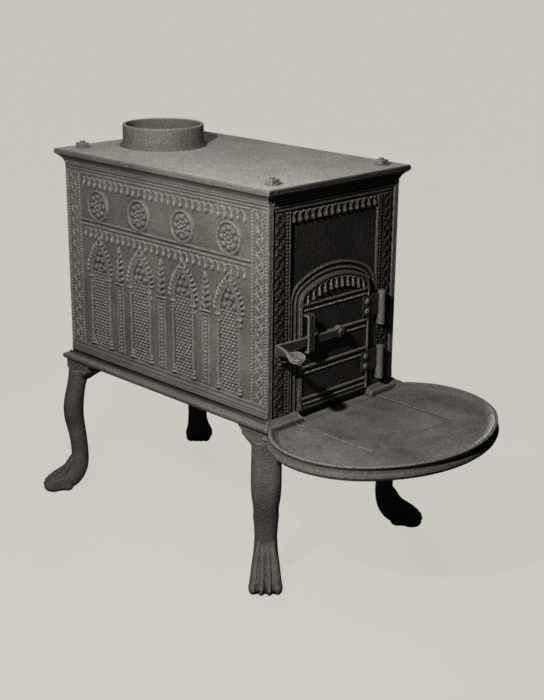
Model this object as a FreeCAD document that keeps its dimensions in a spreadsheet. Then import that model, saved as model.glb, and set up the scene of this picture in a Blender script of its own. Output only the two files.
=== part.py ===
import FreeCAD
import Part
import Sketcher
import math
import os
import re
from FreeCAD import Placement, Rotation, Vector

# A six-plate cast iron box stove, in millimetres, +Z up. The floor is z = 0, the fire door
# faces -Y, and the origin is on the floor under the middle of the stove's own box.

SIZES = {
    # Firebox in plan
    "box_width": 354.0,  # over the relief of the two side plates
    "box_length": 584.0,  # over the ends of the side plates
    "box_centre_y": 128.78,  # middle of the firebox, which stands behind the hearth
    "overhang": 15.0,  # top and base plates past the firebox
    "wall": 9.5,
    "relief": 3.5,  # side mouldings above their ground
    "front_recess": 5.0,  # front and back plates behind the ends of the side plates
    "front_relief": 2.5,  # border of the front plate above its ground
    # Heights, stacked from the floor
    "leg_height": 281.0,
    "pad_drop": 19.0,  # corner pads below the base plate
    "base_rise": 19.0,
    "plate_height": 403.0,
    "cornice_rise": 16.0,
    "lip_rise": 10.0,
    # Base plate and hearth
    "floor_drop": 9.0,  # chamber floor below the bed that the plates stand on
    "bed_width": 26.0,
    "pad_side": 86.0,
    "pad_draw": 16.0,  # how much shorter a pad is at its foot
    "edge_inset": 6.0,  # pads and moulding feet behind the plate's edge
    "hearth_half_width": 243.0,
    "hearth_half_depth": 199.0,
    "hearth_flat": 27.0,  # end radius of the front short of the half depth
    "hearth_reach": 111.0,  # middle of the hearth in front of the base plate
    "hearth_rise": 27.0,  # height of the rim's moulding
    "hearth_sunk": 16.0,  # foot of the rim below the base plate's underside
    "rim_depth": 9.0,  # hearth floor below the rim
    "rim_wide": 9.0,
    "rim_slope": 13.0,
    "hearth_floor": 9.0,
    "hearth_lap": 11.0,  # hearth under the base plate's front edge
    "panel_half_width": 112.0,
    "panel_reach": 183.0,
    "panel_depth": 1.2,
    "mouth_half_width": 98.0,  # ledge cut away under the door
    "rib_past": 6.0,  # rib that stiffens the floor under that cut, past its ends
    # Flue collar
    "collar_bore_radius": 77.0,
    "collar_wall": 6.0,
    "collar_rise": 43.0,
    "collar_root": 7.0,  # flare where the collar meets the plate
    "collar_back": 191.0,  # behind the middle of the firebox
    "throat_step": 2.0,  # hole in the plate wider than the collar's bore
    # Tie rods
    "rod_radius": 5.0,
    "rod_in_x": 45.0,  # in from the sides of the top plate
    "rod_in_y": 37.0,
    "rod_sunk": 14.0,  # into the base plate
    "rod_stand": 3.5,  # rod end above its nut
    "rod_play": 0.5,
    "thread_play": 0.05,
    "washer_radius": 12.5,
    "washer_thick": 2.5,
    "nut_side": 19.0,
    "nut_rise": 8.0,
    # Legs
    "knee_drop": 96.0,  # knee below the top of the leg
    "knee_depth": 40.0,
    "knee_width": 56.0,
    "bracket_drop": 26.0,
    "ankle_height": 75.0,
    "ankle_depth": 35.5,
    "ankle_width": 43.5,
    "foot_width": 63.0,
    "instep_height": 44.0,
    "toe_reach": 53.0,  # toes past the corner of the base plate
    "toe_pitch": 15.5,
    "toe_height": 25.0,
    "tongue_back": 59.0,  # far end of the tongue, in from the corner
    "tongue_long": 34.0,
    "tongue_wide": 24.0,
    "tongue_rise": 9.0,
    "tongue_play": 0.3,
    # Relief of the side plates
    "corner_strip": 6.0,
    "border_width": 42.0,
    "border_fillet": 3.0,
    "plinth_rise": 12.0,
    "rail_height": 292.5,
    "rail_radius": 3.0,
    "rail_string_drop": 9.5,
    "bay_pitch": 126.5,
    "medal_height": 325.5,
    "medal_radius": 29.5,
    "medal_ring": 3.5,
    "arch_spring": 181.0,
    "arch_half_span": 33.0,
    "arch_rise": 68.0,
    "arch_band": 9.0,
    "column_radius": 4.6,
    "column_foot": 34.0,
    "capital_wide": 17.0,
    "capital_rise": 5.0,
    "spire_rise": 62.0,
    "spire_half_width": 8.5,
    "corbel_rise": 6.0,
    # Fire door and its frame
    "door_margin": 80.0,  # edge of the door inside the firebox's side
    "door_spring": 208.0,  # where the arch starts, above the bed
    "door_arch_rise": 43.0,
    "door_corner_radius": 25.0,
    "door_lap": 12.0,  # door over the edge of its opening
    "door_thick": 8.0,
    "door_lift": 2.0,  # foot of the door above the bed
    "seat_gap": 0.3,
    "frame_roll_radius": 3.5,
    "inner_roll_out": 6.0,  # middle of the rolls outside the door's edge
    "outer_roll_out": 17.0,
    "door_roll_radius": 2.5,
    "door_roll_in": 5.0,
    "door_rail_radius": 3.0,
    "top_rail_height": 204.0,
    "latch_rail_height": 141.5,
    "mid_rail_height": 84.8,
    "foot_rail_height": 23.0,
    # Hinges
    "hinge_aside": 29.0,  # hinge axis outside the door's edge
    "hinge_out": 14.0,  # hinge axis in front of the front plate's ground
    "barrel_radius": 7.75,
    "pin_radius": 4.0,
    "pin_play": 0.05,
    "pin_stand": 2.0,
    "pin_seat": 3.0,
    "lug_rise": 17.0,
    "lug_arm": 10.0,
    "knuckle_gap": 0.5,
    "knuckle_rise": 48.0,
    "lower_lug_height": 16.0,
    "upper_lug_height": 127.0,
    "strap_rise": 40.0,
    "strap_thick": 4.0,
    "strap_lap": 21.0,  # strap over the door
    "strap_rivet_in": 11.0,
    "strap_rivet_pitch": 20.0,
    "rivet_head_radius": 6.0,
    "rivet_head_rise": 3.5,
    # Latch
    "pivot_x": 5.0,
    "pivot_height": 137.0,
    "pivot_radius": 4.5,
    "pivot_play": 0.05,
    "pivot_boss_radius": 11.0,
    "pivot_boss_rise": 4.0,
    "pivot_head_radius": 8.0,
    "pivot_head_rise": 4.6,
    "latch_washer_thick": 1.5,
    "latch_gap": 0.3,
    "bar_thick": 5.0,
    "bar_eye_radius": 11.0,
    "bar_half_rise": 6.5,
    "bar_end_half_rise": 10.0,
    "bar_end_aside": 69.0,  # end of the bar outside the door's edge
    "handle_reach": 54.0,
    "spoon_half_width": 11.0,
    "guide_in": 15.0,  # middle of the guide inside the door's edge
    "guide_wide": 14.0,
    "guide_thick": 4.0,
    "guide_bend": 4.5,  # rounding of its two bends
    "guide_gap": 1.4,  # guide in front of the bar
    "guide_low": 115.0,
    "guide_high": 188.0,
    "catch_aside": 46.0,  # middle of the catch outside the door's edge
    "catch_wide": 14.0,
    "catch_floor": 116.0,
    "catch_lip_top": 126.3,
    "catch_thick": 4.0,
    "catch_foot_drop": 22.0,
    "catch_foot_thick": 3.0,
    "catch_rivet_radius": 3.5,
}

# Places that follow from the sizes
TIED = {
    "door_half_width": "=box_width / 2 - door_margin",
    "hinge_x": "=door_half_width + hinge_aside",
    "strap_end_x": "=door_half_width - strap_lap",
    "strap_rivet_x": "=door_half_width - strap_rivet_in",
    "bar_end_x": "=-door_half_width - bar_end_aside",
    "guide_x": "=-door_half_width + guide_in",
    "catch_x": "=-door_half_width - catch_aside",
}
NAMED = {**SIZES, **TIED}

doc = FreeCAD.newDocument("box_stove")
sheet = doc.addObject("Spreadsheet::Sheet", "Sizes")
for row, (alias, size) in enumerate(NAMED.items(), start=1):
    sheet.set(f"A{row}", alias)
    sheet.set(f"B{row}", str(size))
    sheet.setAlias(f"B{row}", alias)
doc.recompute()

ALONG = {"x": Rotation(Vector(0, 1, 0), 90), "y": Rotation(Vector(1, 0, 0), -90), "z": Rotation()}
FLAT = Rotation()
UPRIGHT = Rotation(Vector(1, 0, 0), 90)  # drawn x and y become X and Z, facing -Y
SIDEWAYS = Rotation(Vector(1, 1, 1), 120)  # drawn x and y become Y and Z, facing +X
NODES = []


# Formulas over the sheet

def formula(words):
    """A formula over size names, as an expression over the sheet's cells."""
    return re.sub(r"[a-z][a-z_]*", lambda found: "Sizes." * (found[0] in NAMED) + found[0], words)


def number(words):
    return float(sheet.evalExpression(str(words)))


def bind(item, **sizes):
    for name, words in sizes.items():
        item.setExpression(name, formula(words))


def put(item, x="0", y="0", z="0", turn=FLAT):
    item.Placement = Placement(Vector(), turn)
    for axis, words in zip("xyz", (x, y, z)):
        item.setExpression("Placement.Base." + axis, formula(words))
    return item


# Solids

def block(name, low, high):
    """A box between two corners."""
    item = doc.addObject("Part::Box", name)
    spans = [f"({top}) - ({bottom})" for bottom, top in zip(low, high)]
    bind(item, Length=spans[0], Width=spans[1], Height=spans[2])
    return put(item, *low)


def cylinder(name, foot, radius, height, along="z"):
    item = doc.addObject("Part::Cylinder", name)
    bind(item, Radius=radius, Height=height)
    return put(item, *foot, turn=ALONG[along])


def cone(name, foot, foot_radius, top_radius, height, turn=FLAT):
    item = doc.addObject("Part::Cone", name)
    bind(item, Radius1=foot_radius, Radius2=top_radius, Height=height)
    return put(item, *foot, turn=turn)


def dome(name, centre, radius, rise):
    """A rivet head: half an ellipsoid that stands out towards -Y."""
    item = doc.addObject("Part::Ellipsoid", name)
    bind(item, Radius1=rise, Radius2=radius, Radius3=radius)
    item.Angle1 = 0
    return put(item, *centre, turn=UPRIGHT)


def fuse(name, shapes):
    item = doc.addObject("Part::MultiFuse", name)
    item.Shapes = shapes
    item.Refine = True
    return item


def cut(name, base, tools):
    item = doc.addObject("Part::Cut", name)
    item.Base = base
    item.Tool = tools[0] if len(tools) == 1 else fuse(name + "_tools", tools)
    return item


def common(name, shapes):
    item = doc.addObject("Part::MultiCommon", name)
    item.Shapes = shapes
    return item


def mirrored(name, source, normal):
    item = doc.addObject("Part::Mirroring", name)
    item.Source = source
    item.Normal = normal
    return item


def node(item, label):
    item.Label = label
    NODES.append(item)
    return item


# Outlines: each corner is (x, y), or (x, y, radius) where an arc that turns left leads to it

def arc_between(start, end, radius):
    middle = (start + end) / 2
    half = (end - start) / 2
    aside = Vector(-half.y, half.x, 0).normalize()
    centre = middle + aside * math.sqrt(max(radius ** 2 - half.Length ** 2, 0.0))
    from_angle = math.atan2(start.y - centre.y, start.x - centre.x)
    to_angle = math.atan2(end.y - centre.y, end.x - centre.x)
    return Part.ArcOfCircle(Part.Circle(centre, Vector(0, 0, 1), radius), from_angle, to_angle)


def draw(sketch, corners, closed=True):
    """Draws one outline whose corners and radii stay bound to the sheet."""
    points = [Vector(number(corner[0]), number(corner[1]), 0) for corner in corners]
    first = sketch.GeometryCount
    starts = range(len(points)) if closed else range(len(points) - 1)
    for start in starts:
        end = (start + 1) % len(points)
        if len(corners[end]) == 2:
            sketch.addGeometry(Part.LineSegment(points[start], points[end]))
        else:
            radius = corners[end][2]
            edge = sketch.addGeometry(arc_between(points[start], points[end], number(radius)))
            hold(sketch, Sketcher.Constraint("Radius", edge, number(radius)), radius)
    for start in starts:
        edge = first + start
        if start > 0:
            sketch.addConstraint(Sketcher.Constraint("Coincident", edge - 1, 2, edge, 1))
        hold_point(sketch, edge, 1, points[start], corners[start])
    last = first + len(starts) - 1
    if closed:
        sketch.addConstraint(Sketcher.Constraint("Coincident", last, 2, first, 1))
    else:
        hold_point(sketch, last, 2, points[-1], corners[-1])


def hold(sketch, constraint, words):
    index = sketch.addConstraint(constraint)
    sketch.setExpression(f"Constraints[{index}]", formula(words))


def hold_point(sketch, edge, end, point, corner):
    hold(sketch, Sketcher.Constraint("DistanceX", -1, 1, edge, end, point.x), corner[0])
    hold(sketch, Sketcher.Constraint("DistanceY", -1, 1, edge, end, point.y), corner[1])


def drawing(name, outlines, place=("0", "0", "0"), turn=FLAT, closed=True):
    sketch = doc.addObject("Sketcher::SketchObject", name)
    for corners in outlines:
        draw(sketch, corners, closed)
    return put(sketch, *place, turn=turn)


def plate(name, plane, start, thickness, outlines):
    """A body padded from outlines on one of its own planes, from start along the plane's normal."""
    body = doc.addObject("PartDesign::Body", name)
    sketch = body.newObject("Sketcher::SketchObject", name + "_outline")
    sketch.AttachmentSupport = [(find_plane(body, plane), "")]
    sketch.MapMode = "FlatFace"
    sketch.setExpression("AttachmentOffset.Base.z", formula(start))
    for corners in outlines:
        draw(sketch, corners)
    pad = body.newObject("PartDesign::Pad", name + "_pad")
    pad.Profile = sketch
    bind(pad, Length=thickness)
    return body


def find_plane(body, role):
    return next(item for item in body.Origin.OriginFeatures if item.Role == role)


def rectangle(left, low, right, high):
    return [(left, low), (right, low), (right, high), (left, high)]


def stack(name, rings, outline, y):
    """A moulded plate: rings of one outline, each (inset, height), ruled from one to the next."""
    sections = []
    for index, (inset, height) in enumerate(rings):
        sections.append(drawing(f"{name}_ring_{index}", [outline(inset)], ("0", y, height)))
    item = doc.addObject("Part::Loft", name)
    item.Sections = sections
    item.Solid = True
    item.Ruled = True
    return item


def roll_along(name, corners, radius, place, turn=UPRIGHT):
    """A round moulding that follows an open outline."""
    path = drawing(name + "_path", [corners], place, turn, closed=False)
    ring = doc.addObject("Part::Circle", name + "_ring")
    bind(ring, Radius=radius)
    put(ring, f"({place[0]}) + ({corners[0][0]})", place[1], f"({place[2]}) + ({corners[0][1]})")
    item = doc.addObject("Part::Sweep", name)
    item.Sections = [ring]
    item.Spine = (path, [f"Edge{edge + 1}" for edge in range(len(corners) - 1)])
    item.Solid = True
    return item


# Shared places

HALF_X = "(box_width / 2)"
HALF_Y = "(box_length / 2)"
GROUND_X = f"({HALF_X} - relief)"
INNER_X = f"({GROUND_X} - wall)"
EDGE_X = f"({HALF_X} + overhang)"
EDGE_Y = f"({HALF_Y} + overhang)"
FRONT = f"(box_centre_y - {HALF_Y} + front_recess)"  # ground of the front plate
DOOR_FACE = f"({FRONT} - seat_gap - door_thick)"
BASE_FOOT = "(leg_height + pad_drop)"
BED = f"({BASE_FOOT} + base_rise)"
FLOOR = f"({BED} - floor_drop)"
PLATE_TOP = f"({BED} + plate_height)"
TOP_FOOT = f"({PLATE_TOP} + cornice_rise)"
TOP = f"({TOP_FOOT} + lip_rise)"
HEARTH_Y = f"(box_centre_y - {EDGE_Y} - hearth_reach)"
RIM_FOOT = f"({BASE_FOOT} - hearth_sunk)"
RIM_TOP = f"({RIM_FOOT} + hearth_rise)"
HEARTH_TOP = f"({RIM_TOP} - rim_depth)"
ROD_X = f"({EDGE_X} - rod_in_x)"
ROD_Y = f"({EDGE_Y} - rod_in_y)"
CORNERS = {"front_left": (-1, -1), "front_right": (1, -1), "back_left": (-1, 1), "back_right": (1, 1)}


def box_outline(inset):
    x = f"({EDGE_X} - ({inset}))"
    y = f"({EDGE_Y} - ({inset}))"
    return rectangle(f"-{x}", f"-{y}", x, y)


def arch_corners(half_span, rise, corner_radius):
    """Top radius and the right-hand point where the corner arc meets the top arc."""
    top_radius = (f"(({half_span}^2 + {rise}^2 - 2 * {half_span} * {corner_radius})"
                  f" / (2 * ({rise} - {corner_radius})))")
    share = f"({top_radius} / ({top_radius} - {corner_radius}))"
    meet_x = f"({share} * ({half_span} - {corner_radius}))"
    meet_y = f"({rise} - {top_radius} + {share} * ({top_radius} - {rise}))"
    return top_radius, meet_x, meet_y


def hearth_outline(inset, lap=None):
    """A round apron that springs from the corners of the base plate, lapped under it or not."""
    half_width = f"(hearth_half_width - ({inset}))"
    half_depth = f"(hearth_half_depth - ({inset}))"
    end_radius = f"({half_depth} - hearth_flat)"
    front_radius, x, y = arch_corners(half_width, half_depth, end_radius)
    # The arc meets the base plate aslant, so an inset counts for more there
    neck = f"({EDGE_X} - 1.55 * ({inset}))"
    spread = f"({half_width} - {neck})"
    back_radius = f"(({spread}^2 + hearth_reach^2) / (2 * {spread}))"
    corners = [(f"-{neck}", "hearth_reach"), (f"-{half_width}", "0", back_radius),
               (f"-{x}", f"-{y}", end_radius), (x, f"-{y}", front_radius), (half_width, "0", end_radius),
               (neck, "hearth_reach", back_radius)]
    if lap:
        back = f"hearth_reach + {lap}"
        corners = [(f"-{neck}", back)] + corners + [(neck, back)]
    return corners


# Base plate with its hearth

def base_plate():
    edge = stack("base_edge", [
        ("edge_inset", BASE_FOOT),
        ("edge_inset * 0.3", f"{BASE_FOOT} + base_rise * 0.15"),
        ("0", f"{BASE_FOOT} + base_rise * 0.32"),
        ("0", f"{BASE_FOOT} + base_rise * 0.56"),
        ("overhang * 0.1", f"{BASE_FOOT} + base_rise * 0.64"),
        ("overhang * 0.42", f"{BASE_FOOT} + base_rise * 0.72"),
        ("overhang * 0.66", f"{BASE_FOOT} + base_rise * 0.86"),
        ("overhang * 0.8", BED),
    ], box_outline, "box_centre_y")
    rim = stack("hearth_rim", [
        ("5", RIM_FOOT),
        ("1.5", f"{RIM_FOOT} + hearth_rise * 0.11"),
        ("0", f"{RIM_FOOT} + hearth_rise * 0.26"),
        ("1.5", f"{RIM_FOOT} + hearth_rise * 0.41"),
        ("5", f"{RIM_FOOT} + hearth_rise * 0.52"),
        ("6.5", f"{RIM_FOOT} + hearth_rise * 0.66"),
        ("5", f"{RIM_FOOT} + hearth_rise * 0.8"),
        ("3", f"{RIM_FOOT} + hearth_rise * 0.89"),
        ("3", f"{RIM_FOOT} + hearth_rise * 0.95"),
        ("4.5", RIM_TOP),
    ], lambda inset: hearth_outline(inset, "hearth_lap"), HEARTH_Y)
    pads = [corner_pad(name, *signs) for name, signs in CORNERS.items()]
    rib = block("mouth_rib", ("-mouth_half_width - rib_past", f"box_centre_y - {EDGE_Y} + edge_inset",
                              f"{HEARTH_TOP} - hearth_floor"),
                ("mouth_half_width + rib_past", f"{FRONT} + wall + hearth_floor", f"{BASE_FOOT} + wall / 2"))
    body = fuse("base_casting", [edge, rim, rib] + pads)
    return node(cut("base_plate", body, base_cuts()), "base_plate")


def base_cuts():
    front_edge = f"(box_centre_y - {EDGE_Y})"
    inner_y = f"({HALF_Y} - bed_width)"
    inner_x = f"({HALF_X} - bed_width)"
    above = f"{BED} + wall"
    cuts = [
        block("chamber_floor", (f"-{inner_x}", f"box_centre_y - {inner_y}", FLOOR),
              (inner_x, f"box_centre_y + {inner_y}", above)),
        block("door_mouth", ("-mouth_half_width", f"{front_edge} - overhang", HEARTH_TOP),
              ("mouth_half_width", f"{FRONT} + wall", above)),
        block("mouth_floor", ("-mouth_half_width", f"{front_edge} - overhang", FLOOR),
              ("mouth_half_width", f"box_centre_y - {inner_y}", above)),
        stack("hearth_dish", [
            ("rim_wide + rim_slope", HEARTH_TOP),
            ("rim_wide + rim_slope * 0.5", f"{HEARTH_TOP} + rim_depth * 0.35"),
            ("rim_wide", RIM_TOP),
            ("rim_wide", f"{RIM_TOP} + wall"),
        ], hearth_outline, HEARTH_Y),
        stack("hearth_hollow", [
            ("rim_wide + hearth_floor", f"{RIM_FOOT} - wall"),
            ("rim_wide + hearth_floor", f"{HEARTH_TOP} - hearth_floor"),
        ], hearth_outline, HEARTH_Y),
        block("hearth_panel", ("-panel_half_width", f"{front_edge} - panel_reach",
                               f"{HEARTH_TOP} - panel_depth"),
              ("panel_half_width", front_edge, f"{HEARTH_TOP} + rim_depth")),
    ]
    for name, (side, end) in CORNERS.items():
        cuts.append(leg_tongue("socket_" + name, side, end, "tongue_play"))
        place = (f"{side} * {ROD_X}", f"box_centre_y + {end} * {ROD_Y}", f"{BED} - rod_sunk")
        cuts.append(cylinder("rod_seat_" + name, place, "rod_radius + thread_play", "rod_sunk + wall"))
    return cuts


def corner_pad(name, side, end):
    """A drop pad under one corner of the base plate, shorter at its foot."""
    def outline(shrink):
        near_x = f"({EDGE_X} - edge_inset)"
        near_y = f"({EDGE_Y} - edge_inset)"
        far_x = f"({EDGE_X} - pad_side + ({shrink}))"
        far_y = f"({EDGE_Y} - pad_side + ({shrink}))"
        xs = (far_x, near_x) if side > 0 else (f"-{near_x}", f"-{far_x}")
        ys = (far_y, near_y) if end > 0 else (f"-{near_y}", f"-{far_y}")
        return rectangle(xs[0], ys[0], xs[1], ys[1])
    return stack("pad_" + name, [
        ("pad_draw", "leg_height"),
        ("pad_draw * 0.8", "leg_height + pad_drop * 0.5"),
        ("0", f"{BASE_FOOT} + base_rise * 0.2"),
    ], outline, "box_centre_y")


def leg_turn(side, end):
    return math.degrees(math.atan2(end, side))


def leg_tongue(name, side, end, play):
    """The tongue on top of a leg, or with some play its socket."""
    item = doc.addObject("Part::Box", name)
    bind(item, Length=f"tongue_long + 2 * ({play})", Width=f"tongue_wide + 2 * ({play})",
         Height=f"tongue_rise + 2 * ({play})")
    turn = Rotation(Vector(0, 0, 1), leg_turn(side, end))
    back = f"(tongue_back + ({play}))"
    aside = f"(tongue_wide / 2 + ({play}))"
    slant = math.sqrt(0.5)
    x = f"{side} * {EDGE_X} - {side} * {slant} * {back} + {end} * {slant} * {aside}"
    y = f"box_centre_y + {end} * {EDGE_Y} - {end} * {slant} * {back} - {side} * {slant} * {aside}"
    return put(item, x, y, f"leg_height - ({play})", turn=turn)


# Top plate with its flue collar

def top_plate():
    cornice = stack("cornice", [
        ("overhang - 1", PLATE_TOP),
        ("overhang * 0.9", f"{PLATE_TOP} + cornice_rise * 0.18"),
        ("overhang * 0.8", f"{PLATE_TOP} + cornice_rise * 0.36"),
        ("overhang * 0.66", f"{PLATE_TOP} + cornice_rise * 0.54"),
        ("overhang * 0.46", f"{PLATE_TOP} + cornice_rise * 0.72"),
        ("overhang * 0.24", f"{PLATE_TOP} + cornice_rise * 0.88"),
        ("overhang * 0.14", TOP_FOOT),
    ], box_outline, "box_centre_y")
    lip = stack("lip", [
        ("0.8", TOP_FOOT),
        ("0", f"{TOP_FOOT} + lip_rise * 0.2"),
        ("0", f"{TOP_FOOT} + lip_rise * 0.65"),
        ("0.8", f"{TOP_FOOT} + lip_rise * 0.88"),
        ("2.4", TOP),
    ], box_outline, "box_centre_y")
    flue = ("0", "box_centre_y + collar_back", TOP)
    outer = "collar_bore_radius + collar_wall"
    collar = cylinder("collar_wall_form", flue, outer, "collar_rise")
    root = cone("collar_root_form", flue, f"{outer} + collar_root", outer, "collar_root")
    body = fuse("top_casting", [cornice, lip, collar, root])
    inner_x = f"({INNER_X} + overhang * 0.1)"
    inner_y = f"({HALF_Y} - front_recess - wall - overhang * 0.1)"
    cuts = [
        block("top_hollow", (f"-{inner_x}", f"box_centre_y - {inner_y}", f"{PLATE_TOP} - wall"),
              (inner_x, f"box_centre_y + {inner_y}", TOP_FOOT)),
        cylinder("flue_bore", flue, "collar_bore_radius", "collar_rise * 2"),
        cylinder("flue_throat", (flue[0], flue[1], PLATE_TOP), "collar_bore_radius + throat_step",
                 "cornice_rise + lip_rise"),
    ]
    for name, (side, end) in CORNERS.items():
        cuts.append(cylinder("top_hole_" + name, (f"{side} * {ROD_X}", f"box_centre_y + {end} * {ROD_Y}",
                                                  PLATE_TOP),
                             "rod_radius + rod_play", "cornice_rise + lip_rise * 2"))
    return node(cut("top_plate", body, cuts), "top_plate")


# Side plates: mouldings stand on the ground of the left plate, and the right one mirrors it

def side_plates():
    ground = f"-{GROUND_X}"
    end = HALF_Y
    inside = f"({end} - border_width)"
    pieces = [side_block("side_slab", end, "0", "plate_height", "0", f"-{INNER_X}")]
    pieces.append(side_block("side_plinth", end, "0", "plinth_rise", "relief"))
    pieces.append(side_roll("side_foot_roll", end, "plinth_rise + 5", "relief"))
    pieces.append(side_roll("side_sill_roll", end, "plinth_rise + 13.5", "relief * 0.72"))
    pieces.append(side_roll("side_crown_roll", end, "plate_height - relief", "relief"))
    pieces.append(side_roll("side_neck_roll", end, "plate_height - relief * 3", "relief * 0.65"))
    pieces.append(side_roll("side_rail", inside, "rail_height", "rail_radius"))
    pieces.append(side_block("rail_string", inside, "rail_height - rail_string_drop - 2",
                             "rail_height - rail_string_drop + 2",
                             "relief * 0.4"))
    for sign in (-1, 1):
        word = "front" if sign < 0 else "back"
        pieces.append(upright_strip(f"corner_strip_{word}", sign, end, f"({end} - corner_strip)", "relief"))
        pieces.append(upright_strip(f"border_fillet_{word}", sign, inside, f"({inside} - border_fillet)",
                                    "relief * 0.6"))
    for bay in range(4):
        middle = f"(box_centre_y + bay_pitch * {bay - 1.5})"
        pieces.append(medal_ring(f"medal_ring_{bay}", ground, middle))
        for sign in (-1, 1):
            word = f"{bay}_{'front' if sign < 0 else 'back'}"
            pieces += column(word, ground, f"({middle} + {sign} * (arch_half_span - arch_band / 2))")
    pieces.append(lancet_bands())
    for gap in range(3):
        pieces += pinnacle(f"pinnacle_{gap}", ground, f"(box_centre_y + bay_pitch * {gap - 1})")
    left = node(fuse("left_side_plate", pieces), "left_side_plate")
    node(mirrored("right_side_plate", left, Vector(1, 0, 0)), "right_side_plate")


def side_block(name, half_long, low, high, proud, inner=None):
    ground = f"-{GROUND_X}"
    inner = inner or f"{ground} + wall / 2"
    return block(name, (f"{ground} - ({proud})", f"box_centre_y - {half_long}", f"{BED} + {low}"),
                 (inner, f"box_centre_y + {half_long}", f"{BED} + {high}"))


def side_roll(name, half_long, height, radius):
    """A half round moulding along the side plate."""
    return cylinder(name, (f"-{GROUND_X}", f"box_centre_y - {half_long}", f"{BED} + {height}"),
                    radius, f"2 * {half_long}", along="y")


def upright_strip(name, sign, outer, inner, proud):
    ends = (f"box_centre_y - {outer}", f"box_centre_y - {inner}") if sign < 0 else \
        (f"box_centre_y + {inner}", f"box_centre_y + {outer}")
    return block(name, (f"-{GROUND_X} - ({proud})", ends[0], BED),
                 (f"-{GROUND_X} + wall / 2", ends[1], f"{PLATE_TOP} - relief * 3"))


def medal_ring(name, ground, middle):
    item = doc.addObject("Part::Torus", name)
    bind(item, Radius1="medal_radius", Radius2="medal_ring")
    return put(item, ground, middle, f"{BED} + medal_height", turn=ALONG["x"])


def column(word, ground, middle):
    """A half round column with a square capital and base."""
    shaft_rise = "(arch_spring - column_foot)"
    axis = f"{ground} + column_radius - relief"
    pieces = [cylinder("column_" + word, (axis, middle, f"{BED} + column_foot"), "column_radius",
                       shaft_rise)]
    half = "(capital_wide / 2)"
    for part, low in (("base", "column_foot"), ("capital", "arch_spring - capital_rise * 2")):
        for step, (share, proud) in enumerate(((1.0, 1.0), (0.78, 0.8))):
            foot = f"({BED} + {low} + capital_rise * {step})"
            wide = share if part == "base" else 1.78 - share
            pieces.append(block(f"{part}_{word}_{step}",
                                (f"{ground} - relief * {proud}", f"{middle} - {half} * {wide}", foot),
                                (f"{ground} + wall / 2", f"{middle} + {half} * {wide}",
                                 f"{foot} + capital_rise")))
    return pieces


def lancet_bands():
    """The four pointed arches, as one pad on the side plate's ground."""
    centre_out = "((arch_rise^2 - arch_half_span^2) / (2 * arch_half_span))"
    outer = f"(arch_half_span + {centre_out})"
    inner = f"({outer} - arch_band)"
    inner_rise = f"sqrt({inner}^2 - {centre_out}^2)"
    spring = f"({BED} + arch_spring)"
    halves = []
    for bay in range(4):
        middle = f"(box_centre_y + bay_pitch * {bay - 1.5})"
        whole = [(f"{middle} - arch_half_span", spring), (f"{middle} + arch_half_span", spring),
                 (middle, f"{spring} + arch_rise", outer), (f"{middle} - arch_half_span", spring, outer)]
        inside = [(f"{middle} - arch_half_span + arch_band", f"{spring}"),
                  (f"{middle} + arch_half_span - arch_band", f"{spring}"),
                  (middle, f"{spring} + {inner_rise}", inner),
                  (f"{middle} - arch_half_span + arch_band", f"{spring}", inner)]
        halves.append((whole[:3] + [whole[3]], inside))
    proud = "relief * 0.95"
    start = f"-{GROUND_X} - {proud}"
    bands = plate("lancet_whole", "YZ_Plane", start, f"{proud} + wall / 2",
                  [close_arch(pair[0]) for pair in halves])
    lights = plate("lancet_light", "YZ_Plane", start, f"{proud} + wall",
                   [close_arch(pair[1]) for pair in halves])
    return cut("lancet_bands", bands, [lights])


def close_arch(corners):
    """Foot, then two arcs to the point and back: the last corner repeats the first and becomes its arc."""
    return [corners[0] + (corners[3][2],), corners[1], corners[2]]


def pinnacle(name, ground, middle):
    """A corbel, a shaft below it and a tapering spire above."""
    foot = f"({BED} + arch_spring - corbel_rise)"
    corbel = block(name + "_corbel", (f"{ground} - relief", f"{middle} - spire_half_width * 1.25", foot),
                   (f"{ground} + wall / 2", f"{middle} + spire_half_width * 1.25", f"{foot} + corbel_rise"))
    shaft = cylinder(name + "_shaft", (ground, middle, f"{BED} + plinth_rise"), "column_radius * 0.55",
                     "arch_spring - plinth_rise")
    spire = doc.addObject("Part::Wedge", name + "_spire")
    bind(spire, Xmin="-relief", Xmax="wall / 2", X2min="-relief * 0.5", X2max="wall / 2", Ymin="0",
         Ymax="spire_rise",
         Zmin="-spire_half_width", Zmax="spire_half_width", Z2min="-spire_half_width * 0.2",
         Z2max="spire_half_width * 0.2")
    put(spire, ground, middle, f"{foot} + corbel_rise", turn=Rotation(Vector(1, 0, 0), 90))
    return [corbel, shaft, spire]


# Front plate with its arched opening, and the plain back plate

def door_outline(out, foot):
    """The door's arched outline, moved out by some amount, down to some height above the bed."""
    half = f"(door_half_width + {out})"
    rise = f"(door_arch_rise + {out})"
    corner = f"(door_corner_radius + {out})"
    top_radius, x, y = arch_corners(half, rise, corner)
    spring = f"({BED} + door_spring)"
    return [(half, f"{BED} + {foot}"), (half, spring), (x, f"{spring} + {y}", corner),
            (f"-{x}", f"{spring} + {y}", top_radius), (f"-{half}", spring, corner), (f"-{half}",
                                                                                     f"{BED} + {foot}")]


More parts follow.
